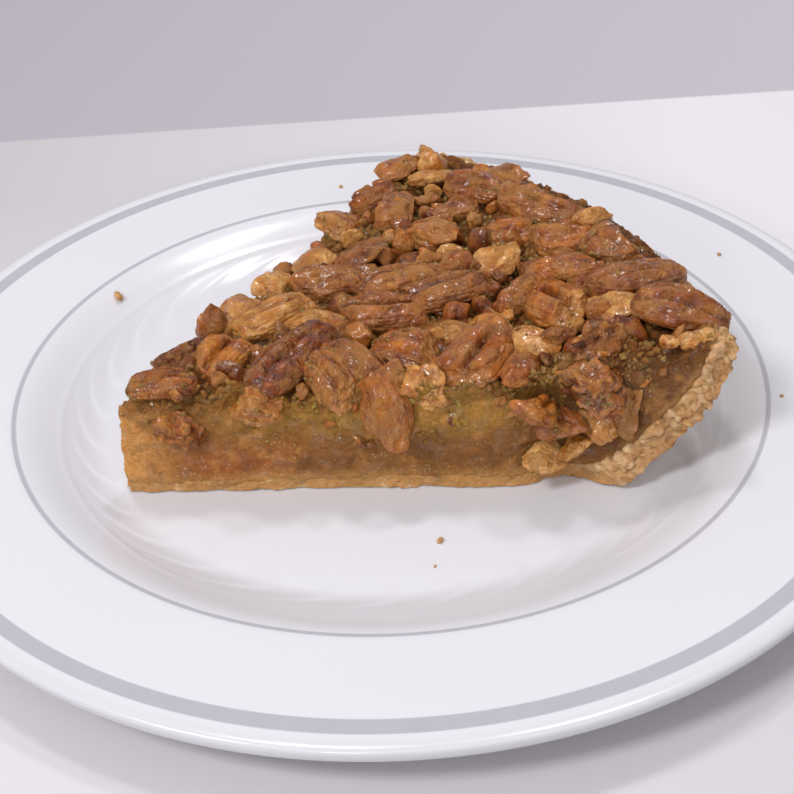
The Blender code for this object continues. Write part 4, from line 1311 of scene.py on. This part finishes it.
class PiePecans(bpy.types.PropertyGroup):
    plump: share_setting("Plumpness", "Size of each piece as a share of its solid's", 1.05, 1.5)
    chips: bpy.props.IntProperty(name="Chips", description="Number of chopped bits tried", default=420, min=1)
    crumbs: bpy.props.IntProperty(name="Crumbs", description="Number of sugar crumbs tried", default=2400, min=1)
    skin_black: colour_setting("Burnt", "Burnt skin", (0.050, 0.016, 0.009))
    bark_dark: colour_setting("Dark bark", "Dark grey-brown skin", (0.132, 0.042, 0.015))
    bark: colour_setting("Bark", "Grey-brown skin", (0.246, 0.099, 0.031))
    bark_tan: colour_setting("Tan bark", "Tan skin", (0.370, 0.172, 0.051))
    red_dark: colour_setting("Dark red", "Dark red-brown skin", (0.167, 0.038, 0.009))
    red: colour_setting("Red", "Red-brown skin", (0.317, 0.090, 0.015))
    orange: colour_setting("Orange", "Orange skin", (0.458, 0.155, 0.019))
    skin_pale: colour_setting("Pale skin", "Palest skin", (0.563, 0.288, 0.082))
    meat_brown: colour_setting("Brown flesh", "Flesh soaked with caramel", (0.327, 0.120, 0.029))
    meat: colour_setting("Flesh", "Broken flesh", (0.482, 0.224, 0.063))
    meat_pale: colour_setting("Pale flesh", "Fresh broken flesh", (0.636, 0.368, 0.126))
    # painted shade colour, multiplied in down the grooves, creases and undersides
    groove: colour_setting("Groove", "Tint down in the grooves", (0.34, 0.20, 0.13))
    glaze: colour_setting("Glaze", "Colour of the sugar stuck on the nuts", (0.440, 0.205, 0.062))
    speck: colour_setting("Sugar grain", "Tiny bright grains in the glaze", (0.80, 0.62, 0.38))
    gloss: share_setting("Roughness", "How dull the glaze is at its wettest", 0.18)


class PieStage(bpy.types.PropertyGroup):
    table: colour_setting("Table", "Colour of the table", (0.718, 0.695, 0.721))
    backdrop: colour_setting("Behind", "Colour behind the table's edge", (0.506, 0.481, 0.536))
    table_depth: length_setting("Table depth", "How far behind the plate's middle the table ends", 0.1635)
    room: colour_setting("Room", "Colour of the room's light", (0.97, 0.965, 1.0))
    room_light: light_setting("Room light", "Strength of the room's light", 0.44)
    window: colour_setting("Window", "Colour of the large soft light", (1.0, 0.985, 0.99))
    window_light: light_setting("Window light", "Watts of the main soft light, from the left", 25.0)
    front_light: light_setting("Front light", "Watts of the wide light in front", 8.6)
    spark_light: light_setting("Spark light", "Watts of the small low light in front, for glints on the cut", 4.0)
    back_light: light_setting("Back light", "Watts of the small lights behind, which make the glints", 6.5)
    lens: light_setting("Lens", "Focal length in millimetres", 72.5)
    pitch: bpy.props.FloatProperty(
        name="Pitch", description="How far the camera looks down", default=math.radians(35.28), subtype="ANGLE"
    )
    roll: bpy.props.FloatProperty(
        name="Roll", description="How far the camera leans", default=math.radians(-2.855), subtype="ANGLE"
    )
    camera: bpy.props.FloatVectorProperty(
        name="Camera", description="Where the camera stands", default=(0.00156, -0.3020, 0.2205), subtype="TRANSLATION"
    )


GROUPS = (
    ("pie_plate", PiePlate),
    ("pie_crust", PieCrust),
    ("pie_filling", PieFilling),
    ("pie_pecans", PiePecans),
    ("pie_stage", PieStage),
)
MAKERS = (
    PIE_OT_plate,
    PIE_OT_crust,
    PIE_OT_custard,
    PIE_OT_pecans,
    PIE_OT_chips,
    PIE_OT_sugar_crumbs,
    PIE_OT_stray_crumbs,
    PIE_OT_stage,
)


class PIE_PT_panel(bpy.types.Panel):
    """Lists the makers and their settings"""

    bl_label = "Pecan pie slice"
    bl_space_type = "VIEW_3D"
    bl_region_type = "UI"
    bl_category = "Pie"

    def draw(self, context):
        for maker in MAKERS:
            self.layout.operator(maker.bl_idname)
        for name, group in GROUPS:
            box = self.layout.box()
            box.label(text=group.__name__)
            for setting in group.__annotations__:
                box.prop(getattr(context.scene, name), setting)


def register():
    for name, group in GROUPS:
        bpy.utils.register_class(group)
        setattr(bpy.types.Scene, name, bpy.props.PointerProperty(type=group))
    for made in (*MAKERS, PIE_PT_panel):
        bpy.utils.register_class(made)


def unregister():
    for made in (PIE_PT_panel, *reversed(MAKERS)):
        bpy.utils.unregister_class(made)
    for name, group in reversed(GROUPS):
        delattr(bpy.types.Scene, name)
        bpy.utils.unregister_class(group)


def main():
    register()
    bpy.ops.pie.plate()
    bpy.ops.pie.crust()
    bpy.ops.pie.custard()
    bpy.ops.pie.pecans()
    bpy.ops.pie.chips()
    bpy.ops.pie.sugar_crumbs()
    bpy.ops.pie.stray_crumbs()
    bpy.ops.pie.stage()


if __name__ == "__main__":
    main()
